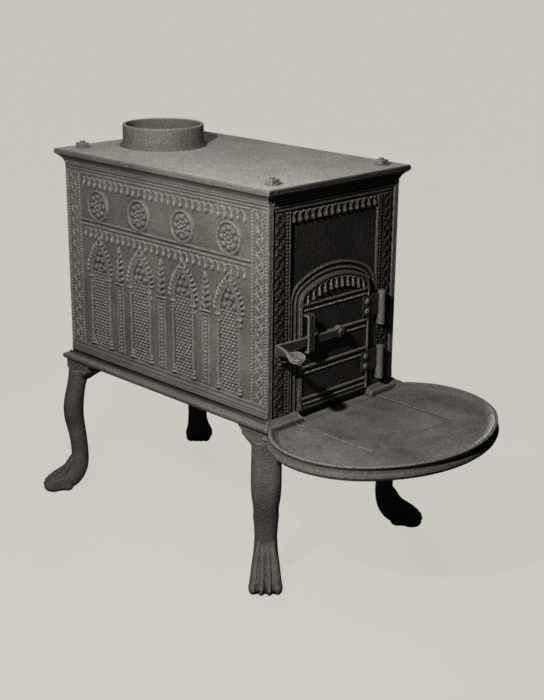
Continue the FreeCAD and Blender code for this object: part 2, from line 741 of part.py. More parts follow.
def front_plate():
    opening = door_outline("-door_lap", "0")
    half = INNER_X
    portal = [(half, BED), (half, PLATE_TOP), (f"-{half}", PLATE_TOP), (f"-{half}", BED)]
    slab = plate("front_slab", "XZ_Plane", f"-({FRONT} + wall)", "wall", [portal])
    light = plate("front_light", "XZ_Plane", f"-({FRONT} + wall * 2)", "wall * 3", [opening])
    face = f"({FRONT} - front_relief)"
    border_in = "(door_half_width + outer_roll_out + frame_roll_radius)"
    border_out = f"({INNER_X} - corner_strip)"
    trims = []
    for sign in (-1, 1):
        word = "left" if sign < 0 else "right"
        xs = (f"-{border_out}", f"-{border_in}") if sign < 0 else (border_in, border_out)
        trims.append(block("front_border_" + word, (xs[0], face, BED),
                           (xs[1], f"{FRONT} + wall / 2", f"{PLATE_TOP} - relief * 3")))
    trims.append(block("front_head", (f"-{border_out}", face, f"{PLATE_TOP} - relief * 6"),
                       (border_out, f"{FRONT} + wall / 2", PLATE_TOP)))
    for word, drop, radius in (("crown", "relief", "relief"), ("neck", "relief * 3", "relief * 0.65")):
        trims.append(cylinder(f"front_{word}_roll", (f"-{INNER_X}", face, f"{PLATE_TOP} - {drop}"), radius,
                              f"2 * {INNER_X}", along="x"))
    for word, out in (("inner", "inner_roll_out"), ("outer", "outer_roll_out")):
        trims.append(roll_along(f"frame_{word}_roll", door_outline(out, "0"), "frame_roll_radius",
                                ("0", FRONT, "0")))
    pierced = cut("front_pierced", slab, [light])
    return node(fuse("front_plate", [pierced] + trims), "front_plate")


def back_plate():
    back = f"(box_centre_y + {HALF_Y} - front_recess)"
    slab = block("back_slab", (f"-{INNER_X}", f"{back} - wall", BED), (INNER_X, back, PLATE_TOP))
    out = f"({INNER_X} - corner_strip)"
    face = f"{back} + front_relief"
    strips = []
    for sign in (-1, 1):
        word = "left" if sign < 0 else "right"
        xs = (f"-{out}", f"-{out} + border_width") if sign < 0 else (f"{out} - border_width", out)
        strips.append(block("back_border_" + word, (xs[0], f"{back} - wall / 2", BED),
                            (xs[1], face, PLATE_TOP)))
    strips.append(block("back_head", (f"-{out}", f"{back} - wall / 2", f"{PLATE_TOP} - relief * 6"),
                        (out, face, PLATE_TOP)))
    strips.append(block("back_foot", (f"-{out}", f"{back} - wall / 2", BED),
                        (out, face, f"{BED} + plinth_rise")))
    return node(fuse("back_plate", [slab] + strips), "back_plate")


# Legs: the front left one is drawn, and the others mirror it

OUTWARD = Rotation(Vector(0, 0, 1), leg_turn(*CORNERS["front_left"]))


def from_corner(out, aside="0"):
    """A point some way out from the front left corner of the base plate, and to one side of that line."""
    slant = math.sqrt(0.5)
    return (f"-{EDGE_X} - {slant} * ({out}) + {slant} * ({aside})",
            f"box_centre_y - {EDGE_Y} - {slant} * ({out}) - {slant} * ({aside})")


def rounded(depth, width):
    """A rectangle with wide round corners."""
    x = f"(({depth}) / 2)"
    y = f"(({width}) / 2)"
    radius = f"(0.46 * min(({depth}); ({width})))"
    flat_x = f"({x} - {radius})"
    flat_y = f"({y} - {radius})"
    return [(x, f"-{flat_y}", radius), (x, flat_y), (flat_x, y, radius), (f"-{flat_x}", y),
            (f"-{x}", flat_y, radius), (f"-{x}", f"-{flat_y}"), (f"-{flat_x}", f"-{y}", radius), (flat_x,
                                                                                                  f"-{y}")]


def leg_skin():
    """Rounded sections down the leg and out along the foot, joined by one smooth skin."""
    knee = "(leg_height - knee_drop)"
    shin = f"(({knee} + ankle_height) / 2)"
    # Each section: distance out from the plate's corner, height, lean in degrees, depth, width
    sections = [
        ("-edge_inset - knee_depth * 0.7", "leg_height + 1", 0, "knee_depth * 1.1", "knee_width"),
        ("-edge_inset - knee_depth * 0.6", "leg_height - bracket_drop", 0, "knee_depth", "knee_width"),
        ("-knee_depth / 2", f"{knee} + knee_drop * 0.25", 0, "knee_depth", "knee_width * 1.02"),
        ("2 - knee_depth / 2", knee, 0, "knee_depth", "knee_width"),
        ("-2 - ankle_depth / 2", f"({knee} + {shin}) / 2", 0, "(knee_depth + ankle_depth) / 2",
         "(knee_width + ankle_width) / 2"),
        ("-6.5 - ankle_depth / 2", shin, 0, "ankle_depth", "ankle_width * 0.97"),
        ("-10 - ankle_depth / 2", "ankle_height + 5", 0, "ankle_depth", "ankle_width"),
        ("-8 - ankle_depth / 2", "(ankle_height + instep_height) / 2", -16, "ankle_depth * 1.08",
         "ankle_width * 1.06"),
        ("4 - ankle_depth / 2", "instep_height * 0.8", -44, "ankle_depth * 1.2",
         "(ankle_width + foot_width) / 2"),
        ("toe_reach * 0.16", "instep_height * 0.5", -70, "instep_height * 1.1", "foot_width * 0.92"),
        ("toe_reach * 0.48", "instep_height * 0.36", -86, "instep_height * 0.86", "foot_width * 0.97"),
        ("toe_reach * 0.74", "instep_height * 0.26", -90, "instep_height * 0.6", "foot_width * 0.9"),
    ]
    rings = []
    for index, (out, height, lean, depth, width) in enumerate(sections):
        turn = OUTWARD * Rotation(Vector(0, 1, 0), lean)
        rings.append(drawing(f"leg_ring_{index}", [rounded(depth, width)], (*from_corner(out), height),
                             turn))
    skin = doc.addObject("Part::Loft", "leg_skin")
    skin.Sections = rings
    skin.Solid = True
    return skin


def leg_toes():
    toes = []
    for toe in range(4):
        aside = f"toe_pitch * {toe - 1.5}"
        short = 4 if toe in (0, 3) else 0
        item = doc.addObject("Part::Ellipsoid", f"toe_{toe}")
        item.Angle1 = -90
        bind(item, Radius1="toe_height / 2", Radius2="toe_reach * 0.36", Radius3="toe_pitch * 0.57")
        toes.append(put(item, *from_corner(f"toe_reach * 0.64 - {short}", aside), "toe_height * 0.44",
                        turn=OUTWARD))
    return toes


def leg_bracket():
    """The head of the leg, square to the base plate like the pad above it, drawn in to the leg."""
    def outline(shrink):
        near = f"(edge_inset + ({shrink}) * 0.2)"
        far = f"(pad_side - pad_draw - ({shrink}))"
        return rectangle(f"-{EDGE_X} + {near}", f"-{EDGE_Y} + {near}", f"-{EDGE_X} + {far}",
                         f"-{EDGE_Y} + {far}")
    return stack("leg_bracket", [
        ("pad_draw * 1.9", "leg_height - bracket_drop"),
        ("pad_draw * 1.25", "leg_height - bracket_drop * 0.6"),
        ("pad_draw * 0.5", "leg_height - bracket_drop * 0.25"),
        ("0", "leg_height"),
    ], outline, "box_centre_y")


def legs():
    form = fuse("leg_form", [leg_skin(), leg_bracket()] + leg_toes())
    room = "(leg_height + toe_reach)"
    corner = from_corner("0")
    bounds = block("leg_bounds", (f"{corner[0]} - {room}", f"{corner[1]} - {room}", "0"),
                   (f"{corner[0]} + {room}", f"{corner[1]} + {room}", "leg_height"))
    trimmed = common("leg_trimmed", [form, bounds])
    front_left = fuse("leg_front_left", [trimmed, leg_tongue("leg_tongue", -1, -1, "0")])
    front_right = mirrored("leg_front_right", front_left, Vector(1, 0, 0))
    back_left = mirrored("leg_back_left", front_left, Vector(0, 1, 0))
    back_right = mirrored("leg_back_right", front_right, Vector(0, 1, 0))
    for item in (back_left, back_right):
        item.setExpression("Base.y", formula("box_centre_y"))
    for item in (front_left, front_right, back_left, back_right):
        node(item, item.Name)


# Tie rods with their washers and nuts

def tie_rods():
    foot = f"({BED} - rod_sunk)"
    nut_foot = f"({TOP} + washer_thick)"
    nut_top = f"({nut_foot} + nut_rise)"
    for name, (side, end) in CORNERS.items():
        x = f"{side} * {ROD_X}"
        y = f"box_centre_y + {end} * {ROD_Y}"
        node(cylinder("tie_rod_" + name, (x, y, foot), "rod_radius", f"{nut_top} + rod_stand - {foot}"),
             "tie_rod_" + name)
        washer = cylinder("washer_disc_" + name, (x, y, TOP), "washer_radius", "washer_thick")
        hole = cylinder("washer_hole_" + name, (x, y, f"{TOP} - washer_thick"), "rod_radius + rod_play",
                        "washer_thick * 3")
        node(cut("rod_washer_" + name, washer, [hole]), "rod_washer_" + name)
        nut = block("nut_block_" + name, (f"{x} - nut_side / 2", f"{y} - nut_side / 2", nut_foot),
                    (f"{x} + nut_side / 2", f"{y} + nut_side / 2", nut_top))
        thread = cylinder("nut_thread_" + name, (x, y, f"{nut_foot} - nut_rise"),
                          "rod_radius + thread_play", "nut_rise * 3")
        node(cut("rod_nut_" + name, nut, [thread]), "rod_nut_" + name)


# Fire door and its hinges

def lug_foot(which):
    return f"({BED} + {which}_lug_height)"


def knuckle_foot(which):
    return f"({lug_foot(which)} + lug_rise + knuckle_gap)"


def strap_foot(which):
    return f"({knuckle_foot(which)} + (knuckle_rise - strap_rise) / 2)"


def fire_door():
    slab = plate("door_slab", "XZ_Plane", f"-({FRONT} - seat_gap)", "door_thick",
                 [door_outline("0", "door_lift")])
    edge_roll = roll_along("door_edge_roll", door_outline("-door_roll_in", "door_lift"),
                           "door_roll_radius", ("0", DOOR_FACE, "0"))
    rooms = []
    for which in ("lower", "upper"):
        rooms.append(block(f"{which}_strap_room", ("strap_end_x - 2", f"{DOOR_FACE} - wall",
                                                   f"{strap_foot(which)} - 1"),
                           ("hinge_x", DOOR_FACE, f"{strap_foot(which)} + strap_rise + 1")))
    half = "(door_half_width - door_roll_in)"
    rails = [cylinder(f"door_{word}_rail", (f"-{half}", DOOR_FACE, f"{BED} + {word}_rail_height"),
                      "door_rail_radius",
                      f"2 * {half}", along="x") for word in ("top", "latch", "mid", "foot")]
    boss = cylinder("pivot_boss", ("pivot_x", f"{DOOR_FACE} - pivot_boss_rise", f"{BED} + pivot_height"),
                    "pivot_boss_radius", "pivot_boss_rise + door_thick / 2", along="y")
    casting = fuse("door_casting", [slab, edge_roll] + rails + [boss])
    in_front = f"({DOOR_FACE} - wall)"
    over_boss = cylinder("over_boss", ("pivot_x", in_front, f"{BED} + pivot_height"), "pivot_boss_radius",
                         "wall - pivot_boss_rise", along="y")
    node(cut("fire_door", casting, rooms + [over_boss]), "fire_door")


def hinge(which):
    axis_y = f"({FRONT} - hinge_out)"
    low = lug_foot(which)
    knuckle = knuckle_foot(which)
    barrel = cylinder(f"{which}_lug_barrel", ("hinge_x", axis_y, low), "barrel_radius", "lug_rise")
    arm = block(f"{which}_lug_arm", ("hinge_x - lug_arm / 2", axis_y, low),
                ("hinge_x + lug_arm / 2", f"{FRONT} - front_relief", f"{low} + lug_rise"))
    seat = cylinder(f"{which}_lug_seat", ("hinge_x", axis_y, f"{low} + pin_seat"),
                    "pin_radius + pin_play", "lug_rise")
    node(cut(f"{which}_hinge_lug", fuse(f"{which}_lug_form", [barrel, arm]), [seat]), f"{which}_hinge_lug")
    node(cylinder(f"{which}_hinge_pin", ("hinge_x", axis_y, f"{low} + pin_seat"), "pin_radius",
                  "lug_rise - pin_seat + knuckle_gap + knuckle_rise + pin_stand"), f"{which}_hinge_pin")
    tube = cylinder(f"{which}_knuckle", ("hinge_x", axis_y, knuckle), "barrel_radius", "knuckle_rise")
    leaf = block(f"{which}_leaf", ("strap_end_x", f"{DOOR_FACE} - strap_thick", strap_foot(which)),
                 ("hinge_x", DOOR_FACE, f"{strap_foot(which)} + strap_rise"))
    bore = cylinder(f"{which}_knuckle_bore", ("hinge_x", axis_y, f"{knuckle} - knuckle_gap"),
                    "pin_radius + pin_play",
                    "knuckle_rise + 2 * knuckle_gap")
    node(cut(f"{which}_hinge_strap", fuse(f"{which}_strap_form", [tube, leaf]), [bore]),
         f"{which}_hinge_strap")


def strap_rivets():
    for which in ("lower", "upper"):
        for word, sign in (("low", -1), ("high", 1)):
            middle = f"{strap_foot(which)} + strap_rise / 2 + {sign} * strap_rivet_pitch / 2"
            name = f"{which}_strap_rivet_{word}"
            node(dome(name, ("strap_rivet_x", f"{DOOR_FACE} - strap_thick", middle), "rivet_head_radius",
                      "rivet_head_rise"), name)


# Latch: bar on its pivot, guide on the door, catch on the front plate

BAR_BACK = f"({DOOR_FACE} - pivot_boss_rise - latch_washer_thick - latch_gap)"
BAR_FACE = f"({BAR_BACK} - bar_thick)"
PIVOT_Z = f"({BED} + pivot_height)"


def latch_bar():
    blade = plate("latch_blade", "XZ_Plane", f"-{BAR_BACK}", "bar_thick", [[
        ("pivot_x", f"{PIVOT_Z} + bar_half_rise"),
        ("guide_x", f"{PIVOT_Z} + bar_half_rise * 1.1"),
        ("bar_end_x", f"{PIVOT_Z} + bar_end_half_rise"),
        ("bar_end_x", f"{PIVOT_Z} - bar_end_half_rise"),
        ("guide_x", f"{PIVOT_Z} - bar_half_rise * 1.1"),
        ("pivot_x", f"{PIVOT_Z} - bar_half_rise"),
    ]])
    eye = cylinder("latch_eye", ("pivot_x", BAR_FACE, PIVOT_Z), "bar_eye_radius", "bar_thick", along="y")
    hole = cylinder("latch_hole", ("pivot_x", f"{BAR_FACE} - bar_thick", PIVOT_Z),
                    "pivot_radius + pivot_play",
                    "bar_thick * 3", along="y")
    node(cut("latch_bar", fuse("latch_form", [blade, eye, latch_handle()]), [hole]), "latch_bar")


def latch_handle():
    """A flat shank that runs forward from the bar's end, turns level and spreads into a spoon."""
    tall = "(bar_end_half_rise * 2)"
    # Each section: share of the reach, aside, drop, width across, height
    sections = [
        (0.03, "0", "0", "bar_thick * 1.2", f"{tall} * 0.9"),
        (0.3, "1", "1", "bar_thick * 1.3", f"{tall} * 0.8"),
        (0.52, "4", "4.5", "spoon_half_width", f"{tall} * 0.5"),
        (0.7, "8", "8.5", "spoon_half_width * 1.85", "bar_thick * 1.1"),
        (0.84, "9", "9.5", "spoon_half_width * 2.1", "bar_thick * 0.9"),
        (0.94, "9", "9.5", "spoon_half_width * 1.6", "bar_thick * 0.9"),
        (1.0, "9", "9", "spoon_half_width * 0.7", "bar_thick * 0.7"),
    ]
    rings = []
    for index, (share, aside, drop, across, height) in enumerate(sections):
        place = (f"bar_end_x + bar_thick / 2 + {aside}", f"{BAR_BACK} - {share} * handle_reach",
                 f"{PIVOT_Z} - {drop}")
        rings.append(drawing(f"handle_ring_{index}", [rounded(across, height)], place, UPRIGHT))
    handle = doc.addObject("Part::Loft", "latch_handle")
    handle.Sections = rings
    handle.Solid = True
    return handle


def latch_fittings():
    boss_face = f"({DOOR_FACE} - pivot_boss_rise)"
    disc = cylinder("latch_washer_disc", ("pivot_x", f"{boss_face} - latch_washer_thick", PIVOT_Z),
                    "pivot_boss_radius * 0.9",
                    "latch_washer_thick", along="y")
    hole = cylinder("latch_washer_hole", ("pivot_x", f"{boss_face} - latch_washer_thick * 2", PIVOT_Z),
                    "pivot_radius + pivot_play", "latch_washer_thick * 3", along="y")
    node(cut("latch_washer", disc, [hole]), "latch_washer")
    head_foot = f"({BAR_FACE} - latch_gap)"
    shank = cylinder("pivot_shank", ("pivot_x", head_foot, PIVOT_Z), "pivot_radius",
                     f"{boss_face} - {head_foot}", along="y")
    head = dome("pivot_head", ("pivot_x", head_foot, PIVOT_Z), "pivot_head_radius", "pivot_head_rise")
    node(fuse("latch_pivot", [shank, head]), "latch_pivot")
    inner = f"({BAR_FACE} - guide_gap)"
    outer = f"({inner} - guide_thick)"
    low = f"({BED} + guide_low)"
    high = f"({BED} + guide_high)"
    guide = plate("guide_form", "YZ_Plane", "guide_x - guide_wide / 2", "guide_wide", [[
        (DOOR_FACE, low), (DOOR_FACE, f"{low} + guide_thick"), (inner, f"{low} + guide_thick"),
        (inner, f"{high} - guide_thick"), (DOOR_FACE, f"{high} - guide_thick"), (DOOR_FACE, high),
        (f"{outer} + guide_bend", high), (f"{outer} + guide_bend * 0.3", f"{high} - guide_bend * 0.3"),
        (outer, f"{high} - guide_bend"), (outer, f"{low} + guide_bend"),
        (f"{outer} + guide_bend * 0.3", f"{low} + guide_bend * 0.3"), (f"{outer} + guide_bend", low),
    ]])
    node(guide, "latch_guide")


def latch_catch():
    face = f"({FRONT} - front_relief)"
    foot_face = f"({face} - catch_foot_thick)"
    floor = f"({BED} + catch_floor)"
    lip_in = f"({BAR_FACE} - latch_gap * 3)"
    left = "(catch_x - catch_wide / 2)"
    right = "(catch_x + catch_wide / 2)"
    catch = plate("catch_form", "YZ_Plane", left, "catch_wide", [[
        (face, f"{floor} - catch_foot_drop"), (face, floor), (lip_in, floor), (lip_in,
                                                                               f"{BED} + catch_lip_top"),
        (f"{lip_in} - catch_thick", f"{BED} + catch_lip_top"), (f"{lip_in} - catch_thick",
                                                                f"{floor} - catch_thick"),
        (foot_face, f"{floor} - catch_thick"), (foot_face, f"{floor} - catch_foot_drop"),
    ]])
    node(catch, "latch_catch")
    node(dome("catch_rivet", (f"({left} + {right}) / 2", foot_face,
                              f"{floor} - catch_thick - (catch_foot_drop - catch_thick) / 2"),
              "catch_rivet_radius", "catch_foot_thick * 0.7"), "catch_rivet")


def check(item):
    """Stops the build if an object failed to compute."""
    if "Invalid" in item.State or "Error" in item.State:
        raise RuntimeError(f"{item.Label} failed: {item.State}")


def write_parts():
    os.makedirs("parts", exist_ok=True)
    for item in doc.Objects:
        check(item)
    for item in NODES:
        if item.Shape.isNull() or not item.Shape.isValid():
            raise RuntimeError(f"{item.Label} has no valid shape")
    for item in NODES:
        item.Shape.exportStep(f"parts/{item.Label}.step")
        print(item.Label, len(item.Shape.Solids), round(item.Shape.Volume / 1000, 1), "cm3")


base_plate()
top_plate()
side_plates()
front_plate()
back_plate()
legs()
tie_rods()
fire_door()
hinge("lower")
hinge("upper")
strap_rivets()
latch_bar()
latch_fittings()
latch_catch()
doc.recompute()
write_parts()
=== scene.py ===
import itertools
import math

import bmesh
import bpy
import numpy as np
from mathutils import Matrix, Vector

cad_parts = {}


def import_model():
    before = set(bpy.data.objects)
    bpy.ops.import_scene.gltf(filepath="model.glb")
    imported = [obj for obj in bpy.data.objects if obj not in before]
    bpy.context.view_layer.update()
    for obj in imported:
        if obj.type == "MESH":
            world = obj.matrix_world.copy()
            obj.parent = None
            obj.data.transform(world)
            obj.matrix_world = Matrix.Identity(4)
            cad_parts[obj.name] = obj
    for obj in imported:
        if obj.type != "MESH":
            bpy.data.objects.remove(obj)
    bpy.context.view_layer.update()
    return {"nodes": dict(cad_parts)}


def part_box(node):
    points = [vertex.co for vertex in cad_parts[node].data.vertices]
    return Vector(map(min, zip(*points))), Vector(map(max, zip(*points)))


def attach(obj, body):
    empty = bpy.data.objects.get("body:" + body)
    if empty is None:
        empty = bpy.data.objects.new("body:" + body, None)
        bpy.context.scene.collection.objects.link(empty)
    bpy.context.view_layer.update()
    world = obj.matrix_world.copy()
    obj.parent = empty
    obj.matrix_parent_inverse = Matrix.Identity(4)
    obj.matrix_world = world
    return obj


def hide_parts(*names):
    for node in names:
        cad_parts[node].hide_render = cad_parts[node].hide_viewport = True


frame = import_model()

MM = 0.001
BOX_Y = 128.78  # middle of the firebox, front to back

# The side plates, in millimetres
SIDE_GROUND = 173.5
SIDE_INNER = 164.0
SIDE_HALF = 292.0
SIDE_LOW = 319.0
SIDE_HIGH = 722.0
BAY = 126.5
BAYS = (-1.5 * BAY, -0.5 * BAY, 0.5 * BAY, 1.5 * BAY)
PINNACLES = (-BAY, 0.0, BAY)
RELIEF_LIFT = 1.4  # ornament over its drawn heights
SIDE_STEP = 1.5  # mesh of the relief
JOINT_SHADE_HIGH = 323.0  # top of the joint over the base plate, which is painted dark as shade
FOOT_BAND_HIGH = 331.0  # top of the plain band over the joint
FOOT_BAND_HEIGHT = 3.5
RAIL_GROUND = 0.9
RAIL_ROLLS = ((718.5, 3.5), (711.5, 2.6), (335.5, 3.6), (344.5, 2.6))  # height, radius
MEDALLION_Z = 644.5
PINNACLE_HALF = 16.0
BUTTRESS_LIMITS = (349.0, 490.0)
BUTTRESS_RINGS = ((495.5, 2.8, 12.5), (488.5, 2.0, 10.5))  # height, radius, half width
LEAF_TIERS = ((504.0, 10.8), (516.0, 10.2), (528.0, 9.2), (539.5, 8.0), (550.0, 6.6))  # height, half width
MIDDLE_ROLL_Z = 611.5
MIDDLE_STRING_Z = 602.0
HEAD_STRING_Z = 705.5
FRIEZE_TOPS = (598.0, 701.0)
FRIEZE_PITCH = 17.2
FRIEZE_DROPS = 28
FRIEZE_PLUMP = 0.68
BORDER_IN = 246.0  # the upright borders at the ends of a side plate
BORDER_MIDDLE = 268.0
BORDER_OUT = 290.0
BORDER_STRING = 18.0  # from the middle of a border to its strings of beads
BORDER_FOOT = 347.0
BORDER_HEAD = 703.0
EDGE_FROM = 289.2  # the plain edge at the ends of a side plate
EDGE_HEIGHT = 2.2

# The lancet arches on the side plates
ARCH_SPRING = 500.0  # where the arcs spring from the shafts
ARCH_CENTRE = 53.6  # from the middle of an arch to the centre of its far arc
ARCH_INNER = 77.0
ARCH_OUTER_ROLL = 85.2
ARCH_INNER_ROLL = 79.2
CROCKET_RADIUS = 91.2
CROCKET_TURN = 0.104  # angle from one crocket to the next
CROCKET_START = 0.1
CROCKET_LIMITS = (0.05, 0.88)
CUSPS = ((0.0, 47.0, 5.0), (7.4, 34.0, 6.2), (13.6, 17.5, 6.4), (0.0, 20.5, 5.4))  # aside, rise, radius
SHAFT_FOOT = 352.0
SHAFT_OFF = 28.5
# Rings of the capitals and the feet: height, radius, half width
SHAFT_RINGS = ((497.0, 3.6, 8.4), (490.0, 2.2, 5.6), (484.5, 2.4, 7.0),
               (366.0, 1.8, 5.6), (360.5, 2.4, 6.4), (353.8, 3.0, 7.6))
KNOB_PITCH = 9.4
KNOB_RISE = 6.4
DIAPER_HALF = 23.0
DIAPER_LIMITS = (351.0, 517.0)
DIAPER_RADIUS = 75.5
NICHE_FOOT = 350.0
NICHE_HALF = 24.4
NICHE_DEPTH = 1.3

# The front plate and the door
FRONT_GROUND = -158.22
BORDER_FACE = -160.72
BORDER_LOW = 322.0
BORDER_HIGH = 700.0
BORDER_INNER_X = 119.0
BORDER_OUTER_X = 158.0
BORDER_LEAF_X = 147.0
BORDER_RIB_X = 136.5
BORDER_BEAD_X = 127.0
BORDER_ROLL_X = 120.4
HEAD_STRING_LOW = 702.0
HEAD_STRING_HIGH = 709.5
HEAD_BEAD_Z = 704.5
HEAD_FILLET_Z = 708.2
ARCADE_HALF = 115.0
ARCADE_LOW = 676.5
ARCADE_HIGH = 699.5
ARCADE_PITCH = 17.0
ARCADE_DROPS = 14
ARCADE_PLUMP = 1.0
PATCH_STEP = 1.25  # mesh of the patches of relief
PATCH_GROUND = 0.3  # ground of a patch over the plate
PATCH_BACK = 6.0  # how deep a patch sits in the plate
DOOR_FACE = -166.52
DOOR_STRINGS = (512.5, 448.5, 391.6, 331.0)  # heights of the strings of beads on the door
DOOR_BEAD = 2.2
DOOR_BEAD_PITCH = 6.0
DOOR_DROP_PITCH = 15.4
DOOR_DROP_INSET = 12.5
DOOR_ARCH_Z = 390.4
DOOR_ARCH_RADIUS = 179.6

# The dish at the end of the latch's handle
SPOON = (-154.5, -214.5, 447.0)
SPOON_RADIUS = 15.5
SPOON_SLOPE = 0.26  # the dish leans towards the hand
# Share of the radius, height
SPOON_PROFILE = ((0.0, 0.6), (0.45, 0.8), (0.75, 1.8), (0.92, 3.6), (1.0, 3.4), (0.98, 1.4), (0.75, -1.4),
                 (0.4, -2.6), (0.0, -2.8))
SPOON_SEGMENTS = 28

# The hearth and the panel on it
HEARTH_TOP = 302.0
HEARTH_BACK = -178.5
PANEL_HALF = 112.0
PANEL_FRONT = -361.2
RIDGE_RADIUS = 1.5


# Heights of relief over a flat ground, in millimetres

def roll(distance, radius):
    """A half round moulding."""
    return np.sqrt(np.maximum(radius ** 2 - distance ** 2, 0.0))


def boss(distance, radius, height):
    """A rounded knob."""
    return height * np.sqrt(np.maximum(1.0 - (distance / radius) ** 2, 0.0))


def repeat(along, pitch, start=0.0):
    """Distance to the nearest of a row of places."""
    return (along - start + pitch / 2) % pitch - pitch / 2


def within(value, low, high):
    """Whether a value lies between two limits."""
    return (value >= low) & (value <= high)


def raise_to(ground, *forms):
    """Raises the ground itself to the highest of some forms."""
    for form in forms:
        np.maximum(ground, form, out=ground)
    return ground


def beads(along, across, pitch, radius, height, start=0.0):
    """A string of round beads."""
    return boss(np.hypot(repeat(along, pitch, start), across), radius, height)


def arcade(along, down, pitch, count, plump):
    """A row of small round arches on hanging drops, where down is measured from the top edge."""
    arch_down = 9.5
    arch_radius = 6.9
    drop_top = 2.0
    drop_foot = 22.5
    end_margin = 4.0
    # Half widths of a drop on its way down
    stops = (drop_top, 5.0, 9.0, 13.0, 17.0, 20.0, drop_foot)
    widths = (2.2, 1.3, 1.4, 3.2, 5.0, 4.0, 0.8)
    reach = pitch * (count - 1) / 2
    off_drop = repeat(along, pitch, -reach)
    off_arch = pitch / 2 - np.abs(off_drop)
    rim = np.hypot(off_arch, np.minimum(down - arch_down, 0.0))
    inside = within(along, -reach - end_margin, reach + end_margin)
    amid = within(along, -reach, reach)
    width = plump * np.interp(down, stops, widths)
    height = np.minimum(1.2 + width, 5.8 * plump)
    edge = np.where(amid & (down < arch_down + 1.0), boss(rim - arch_radius, 1.7, 3.2 * plump), 0.0)
    drop = np.where(within(down, drop_top, drop_foot), boss(off_drop, width, height), 0.0)
    field = raise_to(np.zeros_like(along), edge, drop)
    return np.where(inside & within(down, 0.0, drop_foot + 0.5), field, 0.0)


def medallion(along, up):
    """A ring with a rose of round petals in it."""
    ring_radius = 29.5
    petals_off = 18.4
    small_petals_off = 9.3
    rose_radius = 26.0
    reach = np.hypot(along, up)
    turn = np.arctan2(up, along)
    outer_turn = repeat(turn, math.pi / 4)
    inner_turn = repeat(turn, math.pi / 4, math.pi / 8)
    petal = np.hypot(reach * np.cos(outer_turn) - petals_off, reach * np.sin(outer_turn))
    small = np.hypot((reach * np.cos(inner_turn) - small_petals_off) * 0.85, reach * np.sin(inner_turn))
    return raise_to(
        np.zeros_like(along),
        roll(reach - ring_radius, 3.6),
        boss(petal, 6.7, 4.2),
        boss(small, 3.3, 3.4),
        boss(reach, 4.4, 4.0),
        np.where(reach < rose_radius, 0.35, 0.0),
    )


def arch_moulding(along, over, from_centre):
    """The double roll of a pointed arch, with crockets on its back and a finial."""
    side = np.abs(along)
    swing = np.arctan2(over, side + ARCH_CENTRE)
    arch = raise_to(
        np.zeros_like(along),
        roll(from_centre - ARCH_OUTER_ROLL, 2.6),
        roll(from_centre - ARCH_INNER_ROLL, 2.2),
        np.where(within(from_centre, 77.4, 87.4), 1.6, 0.0),
    )
    off_crocket = from_centre - CROCKET_RADIUS
    leaning = CROCKET_RADIUS * repeat(swing, CROCKET_TURN, CROCKET_START) - 0.45 * off_crocket
    crocket = boss(np.hypot(off_crocket / 1.6, leaning), 3.2, 3.8)
    crocket = np.where(within(swing, *CROCKET_LIMITS), crocket, 0.0)
    finial = raise_to(
        boss(np.hypot(along, (over - 77.0) * 0.75), 3.6, 3.8),
        boss(np.hypot(side - 5.0, over - 73.0), 3.2, 3.0),
    )
    return np.where(over >= 0.0, raise_to(arch, crocket, finial), 0.0)


def cusped_head(along, over, from_centre):
    """Round cusps in the head of an arch."""
    side = np.abs(along)
    head = np.zeros_like(along)
    for off, rise, radius in CUSPS:
        raise_to(head, boss(np.hypot(side - off, (over - rise) * 0.9), radius, 4.4))
    return np.where((over > 8.0) & (from_centre < ARCH_INNER), head, 0.0)


def diaper(along, up, from_centre):
    """Staggered rows of knobs between the shafts of an arch."""
    row = np.round((up - SHAFT_FOOT) / KNOB_RISE)
    shifted = along - np.where(row % 2 > 0.5, KNOB_PITCH / 2, 0.0)
    off_row = repeat(up - SHAFT_FOOT, KNOB_RISE)
    knobs = boss(np.hypot(repeat(shifted, KNOB_PITCH) * 0.8, off_row * 1.15), 3.4, 2.8)
    under_arch = (up < ARCH_SPRING) | (from_centre < DIAPER_RADIUS)
    field = (np.abs(along) < DIAPER_HALF) & within(up, *DIAPER_LIMITS)
    return np.where(field & under_arch, knobs, 0.0)


def shafts(along, up):
    """The two shafts of an arch, with the rings of their capitals and feet."""
    off_shaft = np.abs(along) - SHAFT_OFF
    near = np.abs(off_shaft)
    field = np.where(within(up, SHAFT_FOOT, ARCH_SPRING), roll(off_shaft, 3.4), 0.0)
    for height, radius, width in SHAFT_RINGS:
        ring = 1.2 * roll(up - height, radius) * np.sqrt(np.maximum(1.0 - (near / width) ** 2, 0.0)) ** 0.5
        raise_to(field, np.where(near < width, 1.2 + ring, 0.0) * (np.abs(up - height) < radius))
    return field


def lancet(along, up):
    """A pointed arch on two shafts, with a cusped head and a diaper of knobs."""
    over = up - ARCH_SPRING
    from_centre = np.hypot(np.abs(along) + ARCH_CENTRE, over)
    return raise_to(
        arch_moulding(along, over, from_centre),
        cusped_head(along, over, from_centre),
        diaper(along, up, from_centre),
        shafts(along, up),
    )


def niche(along, up):
    """Where the field between the shafts and under the arch is sunk."""
    side = np.abs(along)
    under_arch = (up >= ARCH_SPRING) & (np.hypot(side + ARCH_CENTRE, up - ARCH_SPRING) < ARCH_INNER)
    return under_arch | ((side < NICHE_HALF) & within(up, NICHE_FOOT, ARCH_SPRING))


